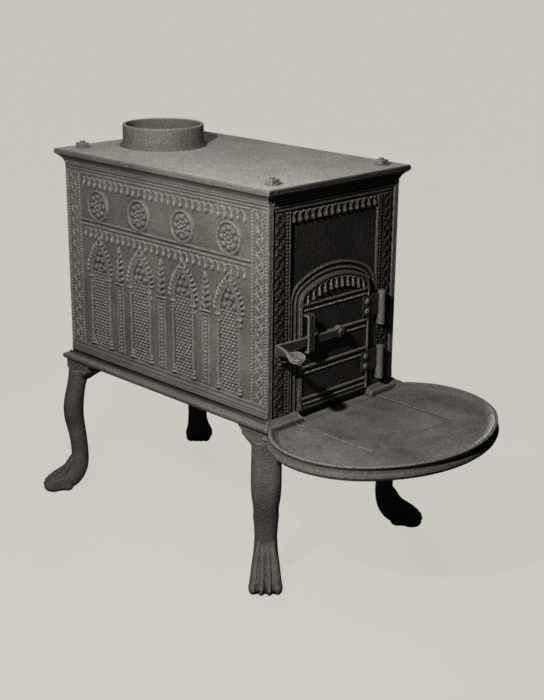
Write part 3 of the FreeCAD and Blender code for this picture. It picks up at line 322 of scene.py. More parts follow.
def pinnacle(along, up):
    """A buttress with a string of beads that ends in tiers of leaves and a finial."""
    side = np.abs(along)
    body = np.where(within(up, *BUTTRESS_LIMITS), raise_to(
        np.where(side < 8.0, 0.8, 0.0),
        roll(side - 8.0, 1.9),
        beads(up, along, 7.4, 3.1, 3.2),
    ), 0.0)
    for height, radius, width in BUTTRESS_RINGS:
        raise_to(body, np.where(side < width, 1.5 * roll(up - height, radius), 0.0))
    for height, width in LEAF_TIERS:
        leaf = np.hypot((side - width * 0.62) / (width * 0.52), (up - height - 0.35 * side) / 5.2)
        vein = np.hypot(along / (width * 0.34), (up - height + 1.0) / 5.6)
        raise_to(body, boss(leaf, 1.0, 3.6), boss(vein, 1.0, 4.2))
    return raise_to(
        body,
        boss(np.hypot(along, (up - 561.0) * 0.75), 5.0, 4.4),
        boss(np.hypot(along, (up - 568.0) * 0.7), 2.6, 3.4),
    )


def scroll(across, along, half_width):
    """A running stem with slanting leaves to either side of it."""
    pitch = half_width * 2.0
    stem = across - half_width * 0.2 * np.sin(math.pi * along / pitch)
    field = roll(stem, half_width * 0.14)
    for sign in (-1, 1):
        place = repeat(along, pitch, pitch / 2 if sign > 0 else 0.0)
        out = sign * across - half_width * 0.44
        length = out * 0.8 + place * 0.6
        width = place * 0.8 - out * 0.6
        leaf = boss(np.hypot(length / (half_width * 0.66), width / (half_width * 0.3)), 1.0, 3.4)
        vein = boss(width, half_width * 0.07, 1.0)
        curl = boss(np.hypot(out - half_width * 0.3, place + half_width * 0.42), half_width * 0.24, 2.8)
        bud = boss(np.hypot(out + half_width * 0.12, place - half_width * 0.62), half_width * 0.2, 2.6)
        raise_to(field, leaf - vein, curl, bud)
    return field


def guilloche(across, along, half_width):
    """Two strands that cross, with a bead in each eye and leaves at the crossings."""
    pitch = half_width * 1.7
    swing = half_width * 0.56 * np.sin(math.pi * along / pitch)
    crossing = repeat(along, pitch)
    eye = repeat(along, pitch, pitch / 2)
    leaf = np.hypot((np.abs(across) - half_width * 0.52) / 1.5, crossing)
    outer = np.hypot(np.abs(across) - half_width * 0.82, np.abs(crossing) - 4.4)
    return raise_to(
        roll(across - swing, 1.9),
        roll(across + swing, 1.9),
        boss(np.hypot(across, eye), 3.2, 2.4),
        boss(leaf, 2.5, 2.0),
        boss(outer, 1.9, 1.6),
    )


def side_field(t, z):
    """The relief of a whole side plate, with t along the plate."""
    field = np.zeros_like(t)
    side = np.abs(t)
    for centre in BAYS:
        near = np.abs(t - centre) <= BAY / 2
        bay = raise_to(lancet(t - centre, z), medallion(t - centre, z - MEDALLION_Z))
        field = np.where(near, bay - NICHE_DEPTH * niche(t - centre, z), field)
    for centre in PINNACLES:
        near = np.abs(t - centre) <= PINNACLE_HALF
        field = np.where(near, np.maximum(field, pinnacle(t - centre, z)), field)
    inner = side < BORDER_IN
    string = z - MIDDLE_STRING_Z
    rail = raise_to(roll(z - MIDDLE_ROLL_Z, 3.2), beads(t, string, 4.6, 2.2, 2.4), roll(string, 1.2))
    for top in FRIEZE_TOPS:
        raise_to(rail, arcade(t, top - z, FRIEZE_PITCH, FRIEZE_DROPS, FRIEZE_PLUMP))
    field = np.where(inner & (rail > 0.0), np.maximum(field, rail), field)
    strip = within(side, BORDER_IN, BORDER_OUT) & within(z, BORDER_FOOT, BORDER_HEAD)
    across = side - BORDER_MIDDLE
    border = raise_to(
        beads(z, np.abs(across) - BORDER_STRING, 6.0, 2.6, 2.7),
        guilloche(across, z, 14.0),
        np.where(np.abs(across) > 15.5, 0.5, 0.0),
    )
    field = RELIEF_LIFT * np.where(strip, np.maximum(field, border), field)
    field = np.where(side >= EDGE_FROM, np.maximum(field, EDGE_HEIGHT), field)
    rails = raise_to(
        beads(t, z - HEAD_STRING_Z, 5.0, 2.5, 2.6),
        roll(z - HEAD_STRING_Z, 1.1),
        np.where(within(z, JOINT_SHADE_HIGH, FOOT_BAND_HIGH), FOOT_BAND_HEIGHT, 0.0),
        np.where(within(z, FOOT_BAND_HIGH, 342.0) | (z > 714.0), RAIL_GROUND, 0.0),
        *(roll(z - height, radius) for height, radius in RAIL_ROLLS),
    )
    return np.where(rails > 0.0, np.maximum(field, rails), field)


# Meshes

def grid(low_u, high_u, low_v, high_v, step):
    """Evenly spaced places over a rectangle."""
    us = np.linspace(low_u, high_u, int(round((high_u - low_u) / step)) + 1)
    vs = np.linspace(low_v, high_v, int(round((high_v - low_v) / step)) + 1)
    return np.meshgrid(us, vs, indexing="ij")


def slab(name, u, v, heights, place, back):
    """A closed plate whose face is a height field and whose back is flat."""
    count_u, count_v = u.shape
    face = place(u.ravel(), v.ravel(), heights.ravel())
    ends = np.array([(u[i, 0], v[0, j]) for i, j in ((0, 0), (-1, 0), (-1, -1), (0, -1))])
    rear = place(ends[:, 0], ends[:, 1], np.full(4, -back))
    index = np.arange(count_u * count_v).reshape(count_u, count_v)
    corners = (index[:-1, :-1], index[:-1, 1:], index[1:, 1:], index[1:, :-1])
    quads = np.stack(corners, axis=-1).reshape(-1, 4).tolist()
    first = count_u * count_v
    quads.append(index[:, 0].tolist() + [first + 1, first])
    quads.append(index[-1, :].tolist() + [first + 2, first + 1])
    quads.append(index[::-1, -1].tolist() + [first + 3, first + 2])
    quads.append(index[0, ::-1].tolist() + [first, first + 3])
    quads.append([first, first + 1, first + 2, first + 3])
    return mesh_piece(name, np.vstack((face, rear)) * MM, quads)


def mesh_piece(name, points, faces, smooth_angle=50.0):
    """A piece from points in metres, smooth but for its sharp edges."""
    mesh = bpy.data.meshes.new(name)
    mesh.from_pydata(points.tolist(), [], faces)
    work = bmesh.new()
    work.from_mesh(mesh)
    bmesh.ops.recalc_face_normals(work, faces=work.faces)
    work.to_mesh(mesh)
    work.free()
    mesh.shade_smooth()
    mesh.set_sharp_from_angle(angle=math.radians(smooth_angle))
    piece = bpy.data.objects.new(name, mesh)
    bpy.context.scene.collection.objects.link(piece)
    return piece


def settle(piece, body, look, *stands_for):
    """Dresses a piece, puts it on its body, and takes out the nodes that it stands for."""
    dress(piece, look)
    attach(piece, body)
    if stands_for:
        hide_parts(*stands_for)


def dress(piece, look):
    """Gives a piece its material."""
    piece.data.materials.clear()
    piece.data.materials.append(LOOKS[look])


def further_look(mesh, look, chosen):
    """Gives a further material to the chosen faces of a mesh."""
    place = len(mesh.materials)
    mesh.materials.append(LOOKS[look])
    for face in mesh.polygons:
        if chosen(face):
            face.material_index = place


def second_look(name, look, chosen):
    """Gives a further material to the chosen faces of a node."""
    further_look(frame["nodes"][name].data, look, chosen)


# Materials

MIX_FIRST = 6  # colour sockets of a mix node
MIX_SECOND = 7
MIX_RESULT = 2
CLOUD_SCALE = 9.0
PATCHY_SCALE = 14.0
GRAIN_SCALE = 260.0
BUMP_SCALE = 250.0
BUMP_DEPTH = 0.0045
# How far the painted shade in the hollows reaches, in metres
HOLLOW_SHADE_REACH = 0.009
METALLIC = 0.1
SPECULAR = 0.4
CAST_WEAR = 0.0045  # how far in from an edge it is worn, in metres
WROUGHT_WEAR = 0.0016
BLACK_WEAR = 0.0014


def link(tree, source, socket, target, entry):
    """Joins a socket of one shader node to a socket of another."""
    tree.links.new(source.outputs[socket], target.inputs[entry])


def noise(tree, place, scale, detail, roughness=0.5):
    """Clouds fixed to the piece."""
    node = tree.nodes.new("ShaderNodeTexNoise")
    node.inputs["Scale"].default_value = scale
    node.inputs["Detail"].default_value = detail
    node.inputs["Roughness"].default_value = roughness
    link(tree, place, "Object", node, "Vector")
    return node


def spread(tree, source, socket, low, high, to_low, to_high):
    """Maps a range of values to another."""
    node = tree.nodes.new("ShaderNodeMapRange")
    for entry, value in (("From Min", low), ("From Max", high), ("To Min", to_low), ("To Max", to_high)):
        node.inputs[entry].default_value = value
    link(tree, source, socket, node, "Value")
    return node


def openness(tree, reach, inside):
    """How open a place is: to the air, or to the body of the metal."""
    node = tree.nodes.new("ShaderNodeAmbientOcclusion")
    node.samples = 6
    node.inside = inside
    node.only_local = inside
    node.inputs["Distance"].default_value = reach
    return node


def darkened(tree, colour, share):
    """A colour times a share that varies over the surface."""
    node = tree.nodes.new("ShaderNodeMix")
    node.data_type = "RGBA"
    node.blend_type = "MULTIPLY"
    node.inputs["Factor"].default_value = 1.0
    link(tree, colour, MIX_RESULT, node, MIX_FIRST)
    link(tree, share, "Result", node, MIX_SECOND)
    return node


def facing(tree, axis, low, high):
    """How far a face is turned along an axis of the stove, from 0 at low to 1 at high."""
    face = tree.nodes.new("ShaderNodeNewGeometry")
    parts = tree.nodes.new("ShaderNodeSeparateXYZ")
    link(tree, face, "True Normal", parts, "Vector")
    return spread(tree, parts, axis, low, high, 0.0, 1.0)


def layer(tree, under, under_socket, colour, factor, factor_socket):
    """A colour over what lies under it, as thick as the factor."""
    node = tree.nodes.new("ShaderNodeMix")
    node.data_type = "RGBA"
    node.inputs[MIX_SECOND].default_value = (*colour, 1)
    link(tree, factor, factor_socket, node, "Factor")
    link(tree, under, under_socket, node, MIX_FIRST)
    return node


def iron(name, dark, middle, pale, worn, roughness, grain, wear=CAST_WEAR, dust=None, thin=0.72):
    """Rough iron: cloudy colour, painted shade in the hollows, paler worn edges and a fine grain,
    with dust on its level faces where that is named, and how much of it lies where it is thin."""
    material = bpy.data.materials.new(name)
    material.use_nodes = True
    tree = material.node_tree
    shader = tree.nodes["Principled BSDF"]
    shader.inputs["Metallic"].default_value = METALLIC
    shader.inputs["Specular IOR Level"].default_value = SPECULAR
    place = tree.nodes.new("ShaderNodeTexCoord")

    cloud = noise(tree, place, CLOUD_SCALE, 7.0, 0.62)
    tint = tree.nodes.new("ShaderNodeValToRGB")
    tint.color_ramp.elements[0].position = 0.3
    tint.color_ramp.elements[0].color = (*dark, 1)
    tint.color_ramp.elements[1].position = 0.72
    tint.color_ramp.elements[1].color = (*pale, 1)
    tint.color_ramp.elements.new(0.5).color = (*middle, 1)
    link(tree, cloud, "Fac", tint, "Fac")

    edges = spread(tree, openness(tree, wear, True), "AO", 0.95, 0.55, 0.0, 1.0)
    ground = layer(tree, tint, "Color", worn, edges, "Result")
    if dust:
        patchy = spread(tree, noise(tree, place, PATCHY_SCALE, 7.0, 0.7), "Fac", 0.35, 0.65, thin, 1.0)
        cover = tree.nodes.new("ShaderNodeMath")
        cover.operation = "MULTIPLY"
        link(tree, facing(tree, "Z", 0.8, 0.97), "Result", cover, 0)
        link(tree, patchy, "Result", cover, 1)
        ground = layer(tree, ground, MIX_RESULT, dust, cover, "Value")

    grains = spread(tree, noise(tree, place, GRAIN_SCALE, 4.0, 0.65), "Fac", 0.3, 0.7, 0.5, 1.5)
    grainy = darkened(tree, ground, grains)
    # Painted shade: places closed in by the metal around them are darkened
    hollow_shade = spread(tree, openness(tree, HOLLOW_SHADE_REACH, False), "AO", 0.3, 0.92, 0.22, 1.0)
    hollow_shaded = darkened(tree, grainy, hollow_shade)
    link(tree, hollow_shaded, MIX_RESULT, shader, "Base Color")

    rough = spread(tree, cloud, "Fac", 0.0, 1.0, roughness - 0.1, roughness + 0.12)
    link(tree, rough, "Result", shader, "Roughness")

    bump = tree.nodes.new("ShaderNodeBump")
    bump.inputs["Strength"].default_value = grain
    bump.inputs["Distance"].default_value = BUMP_DEPTH
    link(tree, noise(tree, place, BUMP_SCALE, 4.0), "Fac", bump, "Height")
    link(tree, bump, "Normal", shader, "Normal")
    return material


# Looks: dark, middle, pale and worn colour, roughness, grain, and what else differs
IRONS = {
    "cast_iron": ((0.088, 0.081, 0.072), (0.125, 0.116, 0.103), (0.168, 0.157, 0.141),
                  (0.26, 0.245, 0.22), 0.62, 0.5, {}),
    # A darker copy of the cast iron: painted shade on the legs and on the ridge of the hearth's panel
    "leg_iron": ((0.06, 0.055, 0.048), (0.086, 0.079, 0.07), (0.118, 0.109, 0.097),
                 (0.18, 0.17, 0.152), 0.6, 0.55, {}),
    "dusty_iron": ((0.08, 0.073, 0.065), (0.115, 0.107, 0.095), (0.155, 0.145, 0.13),
                   (0.24, 0.227, 0.205), 0.66, 0.4, {"dust": (0.5, 0.486, 0.447)}),
    "hearth_iron": ((0.07, 0.064, 0.057), (0.105, 0.097, 0.087), (0.145, 0.135, 0.121),
                    (0.25, 0.236, 0.213), 0.66, 0.5, {"dust": (0.185, 0.174, 0.158), "thin": 0.0}),
    "dusty_wrought": ((0.1, 0.094, 0.085), (0.15, 0.141, 0.129), (0.21, 0.199, 0.183),
                      (0.28, 0.268, 0.25), 0.6, 0.3, {"wear": WROUGHT_WEAR, "dust": (0.4, 0.388, 0.357)}),
    "sooty_iron": ((0.011, 0.0086, 0.0072), (0.0185, 0.015, 0.0126), (0.033, 0.027, 0.023),
                   (0.25, 0.227, 0.203), 0.62, 1.0, {}),
    # A lighter copy of the front's sooty iron: painted highlight on the frame and on the door's rails
    "rubbed_iron": ((0.066, 0.056, 0.048), (0.106, 0.092, 0.08), (0.146, 0.129, 0.113),
                    (0.3, 0.276, 0.25), 0.5, 0.6, {}),
    # Soot on the front's borders, and painted shade in the joints at the foot of the side plates and on
    # the door's shaded mouldings
    "sooty_border": ((0.014, 0.011, 0.009), (0.023, 0.019, 0.016), (0.04, 0.033, 0.029),
                     (0.1, 0.09, 0.08), 0.55, 0.9, {}),
    "wrought_iron": ((0.1, 0.094, 0.085), (0.15, 0.141, 0.129), (0.21, 0.199, 0.183),
                     (0.28, 0.268, 0.25), 0.5, 0.3, {"wear": WROUGHT_WEAR}),
    "black_wrought_iron": ((0.03, 0.026, 0.023), (0.045, 0.04, 0.035), (0.068, 0.062, 0.055),
                           (0.22, 0.208, 0.19), 0.5, 0.3, {"wear": BLACK_WEAR}),
    # Near black wrought iron: painted shadow on the leaves of the hinge straps
    "black_leaf_wrought": ((0.018, 0.015, 0.013), (0.028, 0.024, 0.021), (0.04, 0.036, 0.032),
                           (0.06, 0.054, 0.048), 0.6, 0.5, {"wear": BLACK_WEAR}),
}
LOOKS = {}
for name, (*colours_and_grain, further) in IRONS.items():
    LOOKS[name] = iron(name, *colours_and_grain, **further)


# Side plates

def side_plate(name, node_name, sign):
    """A side plate with its relief, where the sign is the side of the stove."""
    t, z = grid(-SIDE_HALF, SIDE_HALF, SIDE_LOW, SIDE_HIGH, SIDE_STEP)

    def place(u, v, height):
        return np.stack((sign * (SIDE_GROUND + height), BOX_Y + u, v), axis=-1)

    piece = slab(name, t, z, side_field(t, z), place, SIDE_GROUND - SIDE_INNER)
    settle(piece, "stove", "cast_iron", node_name)
    # Painted shade: the strip of the joint at the foot of the plate is made dark
    further_look(piece.data, "sooty_border", lambda face: face.center.z < JOINT_SHADE_HIGH * MM)


# Front plate relief

def front_patch(name, look, low_x, high_x, low_z, high_z, face, field):
    """A strip of relief that is let into the front plate."""
    x, z = grid(low_x, high_x, low_z, high_z, PATCH_STEP)

    def place(u, v, height):
        return np.stack((u, face - height, v), axis=-1)

    piece = slab(name, x, z, np.maximum(field(x, z), PATCH_GROUND), place, PATCH_BACK)
    settle(piece, "stove", look)


def border_strip(x, z):
    """Running leaves beside a string of beads."""
    side = np.abs(x)
    return raise_to(
        scroll(side - BORDER_LEAF_X, z, 10.0),
        roll(side - BORDER_RIB_X, 1.6),
        beads(z, side - BORDER_BEAD_X, 6.4, 2.7, 2.8),
        roll(side - BORDER_ROLL_X, 2.2),
    )


def head_string(x, z):
    """A string of beads under the cornice."""
    return raise_to(beads(x, z - HEAD_BEAD_Z, 5.0, 2.4, 2.5), roll(z - HEAD_FILLET_Z, 1.0))


def head_arcade(x, z):
    """The drops over the bare panel."""
    return arcade(x, ARCADE_HIGH - z, ARCADE_PITCH, ARCADE_DROPS, ARCADE_PLUMP)


# Beads, drops, the dish and the ridge

def sweep(points, faces, path, radii, squash=1.0, normal=(0, 1, 0)):
    """Adds a closed round form along a path in millimetres, with its depth along the normal
    of its plate scaled by some share."""
    segments = 10
    normal = Vector(normal)
    path = [Vector(point) for point in path]
    first = len(points)
    for index, point in enumerate(path):
        ahead = path[min(index + 1, len(path) - 1)] - path[max(index - 1, 0)]
        across = normal.cross(ahead).normalized()
        for segment in range(segments):
            turn = 2 * math.pi * segment / segments
            outward = across * math.cos(turn) + normal * squash * math.sin(turn)
            points.append(tuple(point + outward * radii[index]))
    for index in range(len(path) - 1):
        low = first + index * segments
        for segment in range(segments):
            after = (segment + 1) % segments
            faces.append((low + segment, low + after, low + segments + after, low + segments + segment))
    faces.append(tuple(first + segment for segment in range(segments)))
    faces.append(tuple(len(points) - 1 - segment for segment in range(segments)))


def ball(points, faces, centre, radius):
    """Adds a round bead."""
    rings = 6
    steps = [math.pi * (ring + 0.5) / rings for ring in range(rings)]
    path = [(centre[0] - radius * math.cos(step), centre[1], centre[2]) for step in steps]
    sweep(points, faces, path, [radius * math.sin(step) for step in steps])


def tear(points, faces, x, y, top, length, radius):
    """Adds a drop that hangs from a thin neck."""
    shares = (0.0, 0.15, 0.35, 0.55, 0.72, 0.85, 0.95, 1.0)
    widths = (0.45, 0.38, 0.42, 0.66, 0.95, 1.0, 0.7, 0.25)
    path = [(x, y, top - share * length) for share in shares]
    sweep(points, faces, path, [width * radius for width in widths], 1.1)


def trim(name, body, look, points, faces):
    """A small piece from points in millimetres."""
    settle(mesh_piece(name, np.array(points) * MM, faces), body, look)


def door_beads():
    """Strings of beads under the door's rails."""
    points, faces = [], []
    for height in DOOR_STRINGS:
        for step in range(-14, 15):
            ball(points, faces, (step * DOOR_BEAD_PITCH, DOOR_FACE - 0.3, height), DOOR_BEAD)
    trim("door_beads", "door", "sooty_iron", points, faces)


def latch_spoon():
    """The round dish at the end of the latch's handle, with a small curl at its back."""
    x, y, z = SPOON
    points = [(x, y, z + SPOON_PROFILE[0][1])]
    for share, height in SPOON_PROFILE[1:-1]:
        for segment in range(SPOON_SEGMENTS):
            turn = 2 * math.pi * segment / SPOON_SEGMENTS
            across = share * SPOON_RADIUS * math.cos(turn)
            back = share * SPOON_RADIUS * math.sin(turn)
            points.append((x + across, y + back, z + height + SPOON_SLOPE * (across + back)))
    points.append((x, y, z + SPOON_PROFILE[-1][1]))
    last = len(points) - 1
    last_ring = 1 + (len(SPOON_PROFILE) - 3) * SPOON_SEGMENTS
    faces = []
    for segment in range(SPOON_SEGMENTS):
        after = (segment + 1) % SPOON_SEGMENTS
        faces.append((0, 1 + segment, 1 + after))
        for low in range(1, last_ring, SPOON_SEGMENTS):
            high = low + SPOON_SEGMENTS
            faces.append((low + segment, high + segment, high + after, low + after))
        faces.append((last, last_ring + after, last_ring + segment))
    curl = [(x - 3.0, y + 11.0, z + rise) for rise in (0.0, 4.0, 8.0, 10.0, 11.0)]
    sweep(points, faces, curl, (2.6, 2.6, 2.8, 2.2, 0.8))
    trim("latch_spoon", "latch", "wrought_iron", points, faces)


def door_drops():
    """Hanging drops under the door's arch, joined by small arches."""
    points, faces = [], []
    tops = []
    for step in range(-5, 6):
        x = step * DOOR_DROP_PITCH
        top = DOOR_ARCH_Z + math.sqrt((DOOR_ARCH_RADIUS - DOOR_DROP_INSET) ** 2 - x ** 2)
        tops.append((x, top))
        tear(points, faces, x, DOOR_FACE - 0.4, top, 18.0, 4.3)
    for (left, left_top), (right, right_top) in zip(tops, tops[1:]):
        path = []
        for step in range(9):
            turn = math.pi * step / 8
            share = (1 - math.cos(turn)) / 2
            rise = share * (right_top - left_top) - 2.0 + 5.5 * math.sin(turn)
            path.append((left + share * (right - left), DOOR_FACE, left_top + rise))
        sweep(points, faces, path, [1.1] * len(path), 1.2)
    trim("door_drops", "door", "sooty_iron", points, faces)


def hearth_ridge():
    """The fine raised edge of the panel on the hearth."""
    points, faces = [], []
    corners = [(-PANEL_HALF, HEARTH_BACK), (-PANEL_HALF, PANEL_FRONT), (PANEL_HALF, PANEL_FRONT),
               (PANEL_HALF, HEARTH_BACK)]
    for (x, y), (next_x, next_y) in zip(corners, corners[1:]):
        path = [(x, y, HEARTH_TOP), (next_x, next_y, HEARTH_TOP)]
        sweep(points, faces, path, [RIDGE_RADIUS] * 2, 0.8, (0, 0, 1))
    # The ridge takes the darker iron of the legs as painted shade
    trim("hearth_ridge", "stove", "leg_iron", points, faces)


# Legs with paws

LEG_CORNER = (-192.0, -178.22)
# Stops along a toe: outward, up, radius
TOE_PATH = ((-19.0, 88.0, 4.6), (-12.0, 72.0, 5.8), (-2.0, 58.0, 7.2), (11.0, 44.0, 8.2),
            (24.0, 32.0, 8.6), (34.5, 21.5, 9.2), (41.0, 10.2, 9.6))
# Toes: aside at the tip, aside at the root, how much shorter
TOES = ((-21.5, -10.0, 7.0), (-7.3, -3.6, 0.0), (7.3, 3.6, 0.0), (21.5, 10.0, 7.0))
TOE_SPREAD = 0.8  # power by which the toes part on their way down
TOE_SPOTS = 48
SOLE_SPOTS = 24
LEG_VOXEL = 2.0
LEG_SMOOTH_ANGLE = 70.0
CLEFT_TOP = 88.0
CLEFT_DEPTH = 7.0
CLEFT_FOOT = 8.0  # height under which the clefts fade
CLEFT_BACK = -24.0  # no clefts behind this
CLEFT_ROUND = 0.92
CLEFT_GROWTH = 1.2  # power by which the clefts deepen on their way down
CLEFT_LEAST = 0.3
# How far the front of the foot is drawn outward at each height
FOOT_SHIFT = ((0.0, 0.0), (12.0, 0.5), (18.0, 2.5), (24.0, 4.5), (30.0, 2.5), (36.0, -2.0), (42.0, -6.5),
              (48.0, -7.0), (54.0, -4.0), (62.0, -1.5), (74.0, 0.0))
FOOT_FRONT = -12.0  # where the front of the foot begins, and over what length it blends
FOOT_BLEND = 24.0
FOOT_BLUR = (-8.0, -4.0, 0.0, 4.0, 8.0)  # heights over which the shift is averaged
# How much wider the ankle is made at each height
ANKLE_SPREAD = ((88.0, 0.0), (98.0, 0.05), (106.0, 0.09), (114.0, 0.1), (122.0, 0.14), (130.0, 0.15),
                (138.0, 0.09), (146.0, 0.04), (156.0, 0.0))
# Rows that fill out the sole, from its heel to behind the toes
SOLE_BACK = -2.0
SOLE_FRONT = 24.0
SOLE_ASIDE = 16.5
SOLE_RADIUS = 13.0


def from_corner(outward, aside, up):
    """A place measured outward from the front left corner of the base plate, in metres."""
    x = LEG_CORNER[0] + (-outward + aside) / math.sqrt(2)
    y = LEG_CORNER[1] + (-outward - aside) / math.sqrt(2)
    return Vector((x, y, up)) * MM


def along_toe(tip, root, short):
    """Places and radii closely spaced along one toe."""
    up = np.linspace(TOE_PATH[0][1], TOE_PATH[-1][1], TOE_SPOTS)
    heights = [stop[1] for stop in TOE_PATH[::-1]]
    outward = np.interp(up, heights, [stop[0] for stop in TOE_PATH[::-1]])
    radius = np.interp(up, heights, [stop[2] for stop in TOE_PATH[::-1]])
    share = (up[0] - up) / (up[0] - up[-1])
    aside = root + (tip - root) * share ** TOE_SPREAD
    return zip(outward - short * share ** 2, aside, up, radius)


def leg():
    """The front left leg with four toes, worked into one skin."""
    work = bmesh.new()
    work.from_mesh(frame["nodes"]["leg_front_left"].data)
    for tip, root, short in TOES:
        for outward, aside, up, radius in along_toe(tip, root, short):
            spot = Matrix.Translation(from_corner(outward, aside, up))
            bmesh.ops.create_icosphere(work, subdivisions=2, radius=radius * MM, matrix=spot)
    lengths = np.linspace(SOLE_BACK, SOLE_FRONT, SOLE_SPOTS)
    for outward, aside in itertools.product(lengths, (-SOLE_ASIDE, 0.0, SOLE_ASIDE)):
        spot = Matrix.Translation(from_corner(outward, aside, SOLE_RADIUS))
        bmesh.ops.create_icosphere(work, subdivisions=2, radius=SOLE_RADIUS * MM, matrix=spot)
    mesh = bpy.data.meshes.new("leg_draft")
    work.to_mesh(mesh)
    work.free()
    draft = bpy.data.objects.new("leg_draft", mesh)
    bpy.context.scene.collection.objects.link(draft)
    remesh = draft.modifiers.new("remesh", "REMESH")
    remesh.mode = "VOXEL"
    remesh.voxel_size = LEG_VOXEL * MM
    smooth = draft.modifiers.new("smooth", "SMOOTH")
    smooth.factor = 0.5
    smooth.iterations = 2
    bpy.context.view_layer.update()
    ready = bpy.data.meshes.new_from_object(draft.evaluated_get(bpy.context.evaluated_depsgraph_get()))
    bpy.data.objects.remove(draft)
    return ready


def leg_places(places):
    """Places on the front left leg as outward, aside and up, in millimetres."""
    x = places[:, 0] / MM - LEG_CORNER[0]
    y = places[:, 1] / MM - LEG_CORNER[1]
    return -(x + y) / math.sqrt(2), (x - y) / math.sqrt(2), places[:, 2] / MM


def part_toes(places, normals):
    """Sinks the clefts between the toes."""
    outward, aside, up = leg_places(places)
    share = np.clip((CLEFT_TOP - up) / (CLEFT_TOP - TOE_PATH[-1][1]), 0.0, 1.0)
    lines = [root + (tip - root) * share ** TOE_SPREAD for tip, root, _ in TOES]
    between = np.zeros_like(up)
    for left, right in zip(lines, lines[1:]):
        off_middle = np.abs(aside - (left + right) / 2) / ((right - left) / 2)
        between = np.maximum(between, np.clip(1.0 - off_middle, 0.0, 1.0))
    fade = np.clip(up / CLEFT_FOOT, CLEFT_LEAST, 1.0) * (outward > CLEFT_BACK)
    depth = 1.0 - np.sqrt(1.0 - CLEFT_ROUND * between ** 2)
    depth *= CLEFT_DEPTH * share ** CLEFT_GROWTH * fade
    places -= normals * depth[:, None] * MM


def square_foot(places):
    """Draws the toes out and the front of the ankle in, so that the foot stands off the leg squarely."""
    outward = leg_places(places)[0]
    heights, shifts = zip(*FOOT_SHIFT)
    up = places[:, 2] / MM
    shift = sum(np.interp(up + blur, heights, shifts) for blur in FOOT_BLUR) / len(FOOT_BLUR)
    front = np.clip((outward - FOOT_FRONT) / FOOT_BLEND, 0.0, 1.0)
    shift *= front * front * (3.0 - 2.0 * front) * MM / math.sqrt(2)
    places[:, 0] -= shift
    places[:, 1] -= shift


def fill_ankle(places):
    """Fills out the sides of the ankle under the calf."""
    aside = leg_places(places)[1]
    heights, shares = zip(*ANKLE_SPREAD)
    spread = aside * np.interp(places[:, 2] / MM, heights, shares) * MM / math.sqrt(2)
    places[:, 0] += spread
    places[:, 1] -= spread


def legs():
    """The four legs, mirrored from the front left one and kept inside the boxes of their solids."""
    base = leg()
    count = len(base.vertices)
    places = np.zeros(count * 3)
    base.vertices.foreach_get("co", places)
    places = places.reshape(-1, 3)
    normals = np.zeros(count * 3)
    base.vertices.foreach_get("normal", normals)
    part_toes(places, normals.reshape(-1, 3))
    square_foot(places)
    fill_ankle(places)
    faces = [tuple(face.vertices) for face in base.polygons]
    for end, flip_y in (("front", False), ("back", True)):
        for side, flip_x in (("left", False), ("right", True)):
            name = f"leg_{end}_{side}"
            points = places.copy()
            if flip_x:
                points[:, 0] *= -1
            if flip_y:
                points[:, 1] = 2 * BOX_Y * MM - points[:, 1]
            low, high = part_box(name)
            points = np.clip(points, np.array(low), np.array(high))
            piece = mesh_piece(f"paw_{end}_{side}", points, faces, LEG_SMOOTH_ANGLE)
            # The paws take the darker iron as painted shade
            settle(piece, "stove", "leg_iron", name)


# Building

side_plate("left_side_relief", "left_side_plate", -1)
side_plate("right_side_relief", "right_side_plate", 1)
front_patch("front_border_left", "sooty_border", -BORDER_OUTER_X, -BORDER_INNER_X, BORDER_LOW, BORDER_HIGH,
            BORDER_FACE, border_strip)
front_patch("front_border_right", "sooty_border", BORDER_INNER_X, BORDER_OUTER_X, BORDER_LOW, BORDER_HIGH,
            BORDER_FACE, border_strip)
front_patch("front_head_string", "sooty_border", -BORDER_OUTER_X, BORDER_OUTER_X, HEAD_STRING_LOW,
            HEAD_STRING_HIGH, BORDER_FACE, head_string)
front_patch("front_arcade", "sooty_iron", -ARCADE_HALF, ARCADE_HALF, ARCADE_LOW, ARCADE_HIGH,
            FRONT_GROUND, head_arcade)
door_beads()
door_drops()
latch_spoon()
hearth_ridge()
legs()

# The first word that is in a node's name gives its look
NODE_LOOKS = (("top_plate", "dusty_iron"), ("base_plate", "hearth_iron"),
              ("front_plate", "sooty_iron"), ("fire_door", "sooty_iron"),
              ("latch_", "black_wrought_iron"), ("tie_rod", "dusty_wrought"), ("rod_", "dusty_wrought"),
              ("catch_rivet", "black_wrought_iron"), ("hinge", "wrought_iron"), ("rivet", "wrought_iron"))
for name, node in frame["nodes"].items():
    dress(node, next((look for word, look in NODE_LOOKS if word in name), "cast_iron"))

# Where the further looks of the nodes end, in metres
BARREL_X = 0.117
CORNICE_TOP_Z = 0.7475
BED_X = 0.165
BED_Z = 0.3165
BED_Y = -0.15
FRAME_Y = -0.1615
FRAME_X = 0.116
FRAME_Z = 0.6
MOULDING_Y = DOOR_FACE * MM - 0.0005
DOOR_EDGE_X = -0.08
DOOR_SPRING_Z = 0.525
HANDLE_Y = -0.199
# How far a face has to be turned along an axis to count as facing that way
FACES_FRONT = -0.3
FACES_UP = 0.5
FACES_LEFT = -0.5
BAR_FACES_UP = 0.6


def soot_and_shade_on_cornice(face):
    """Whether a face is on the front of the cornice."""
    return face.normal.y < FACES_FRONT and face.center.z < CORNICE_TOP_Z


# Painted shade goes on these faces of the bed
def in_shaded_base_joint(face):
    """Whether a face is on the bed that a side plate stands on."""
    on_bed = abs(face.center.x) > BED_X and face.center.y > BED_Y and face.center.z > BED_Z
    return on_bed and face.normal.z > FACES_UP


def on_frame(face):
    """Whether a face is on the frame of the door's opening."""
    x, y, z = face.center
    return y < FRAME_Y and abs(x) < FRAME_X and z < FRAME_Z


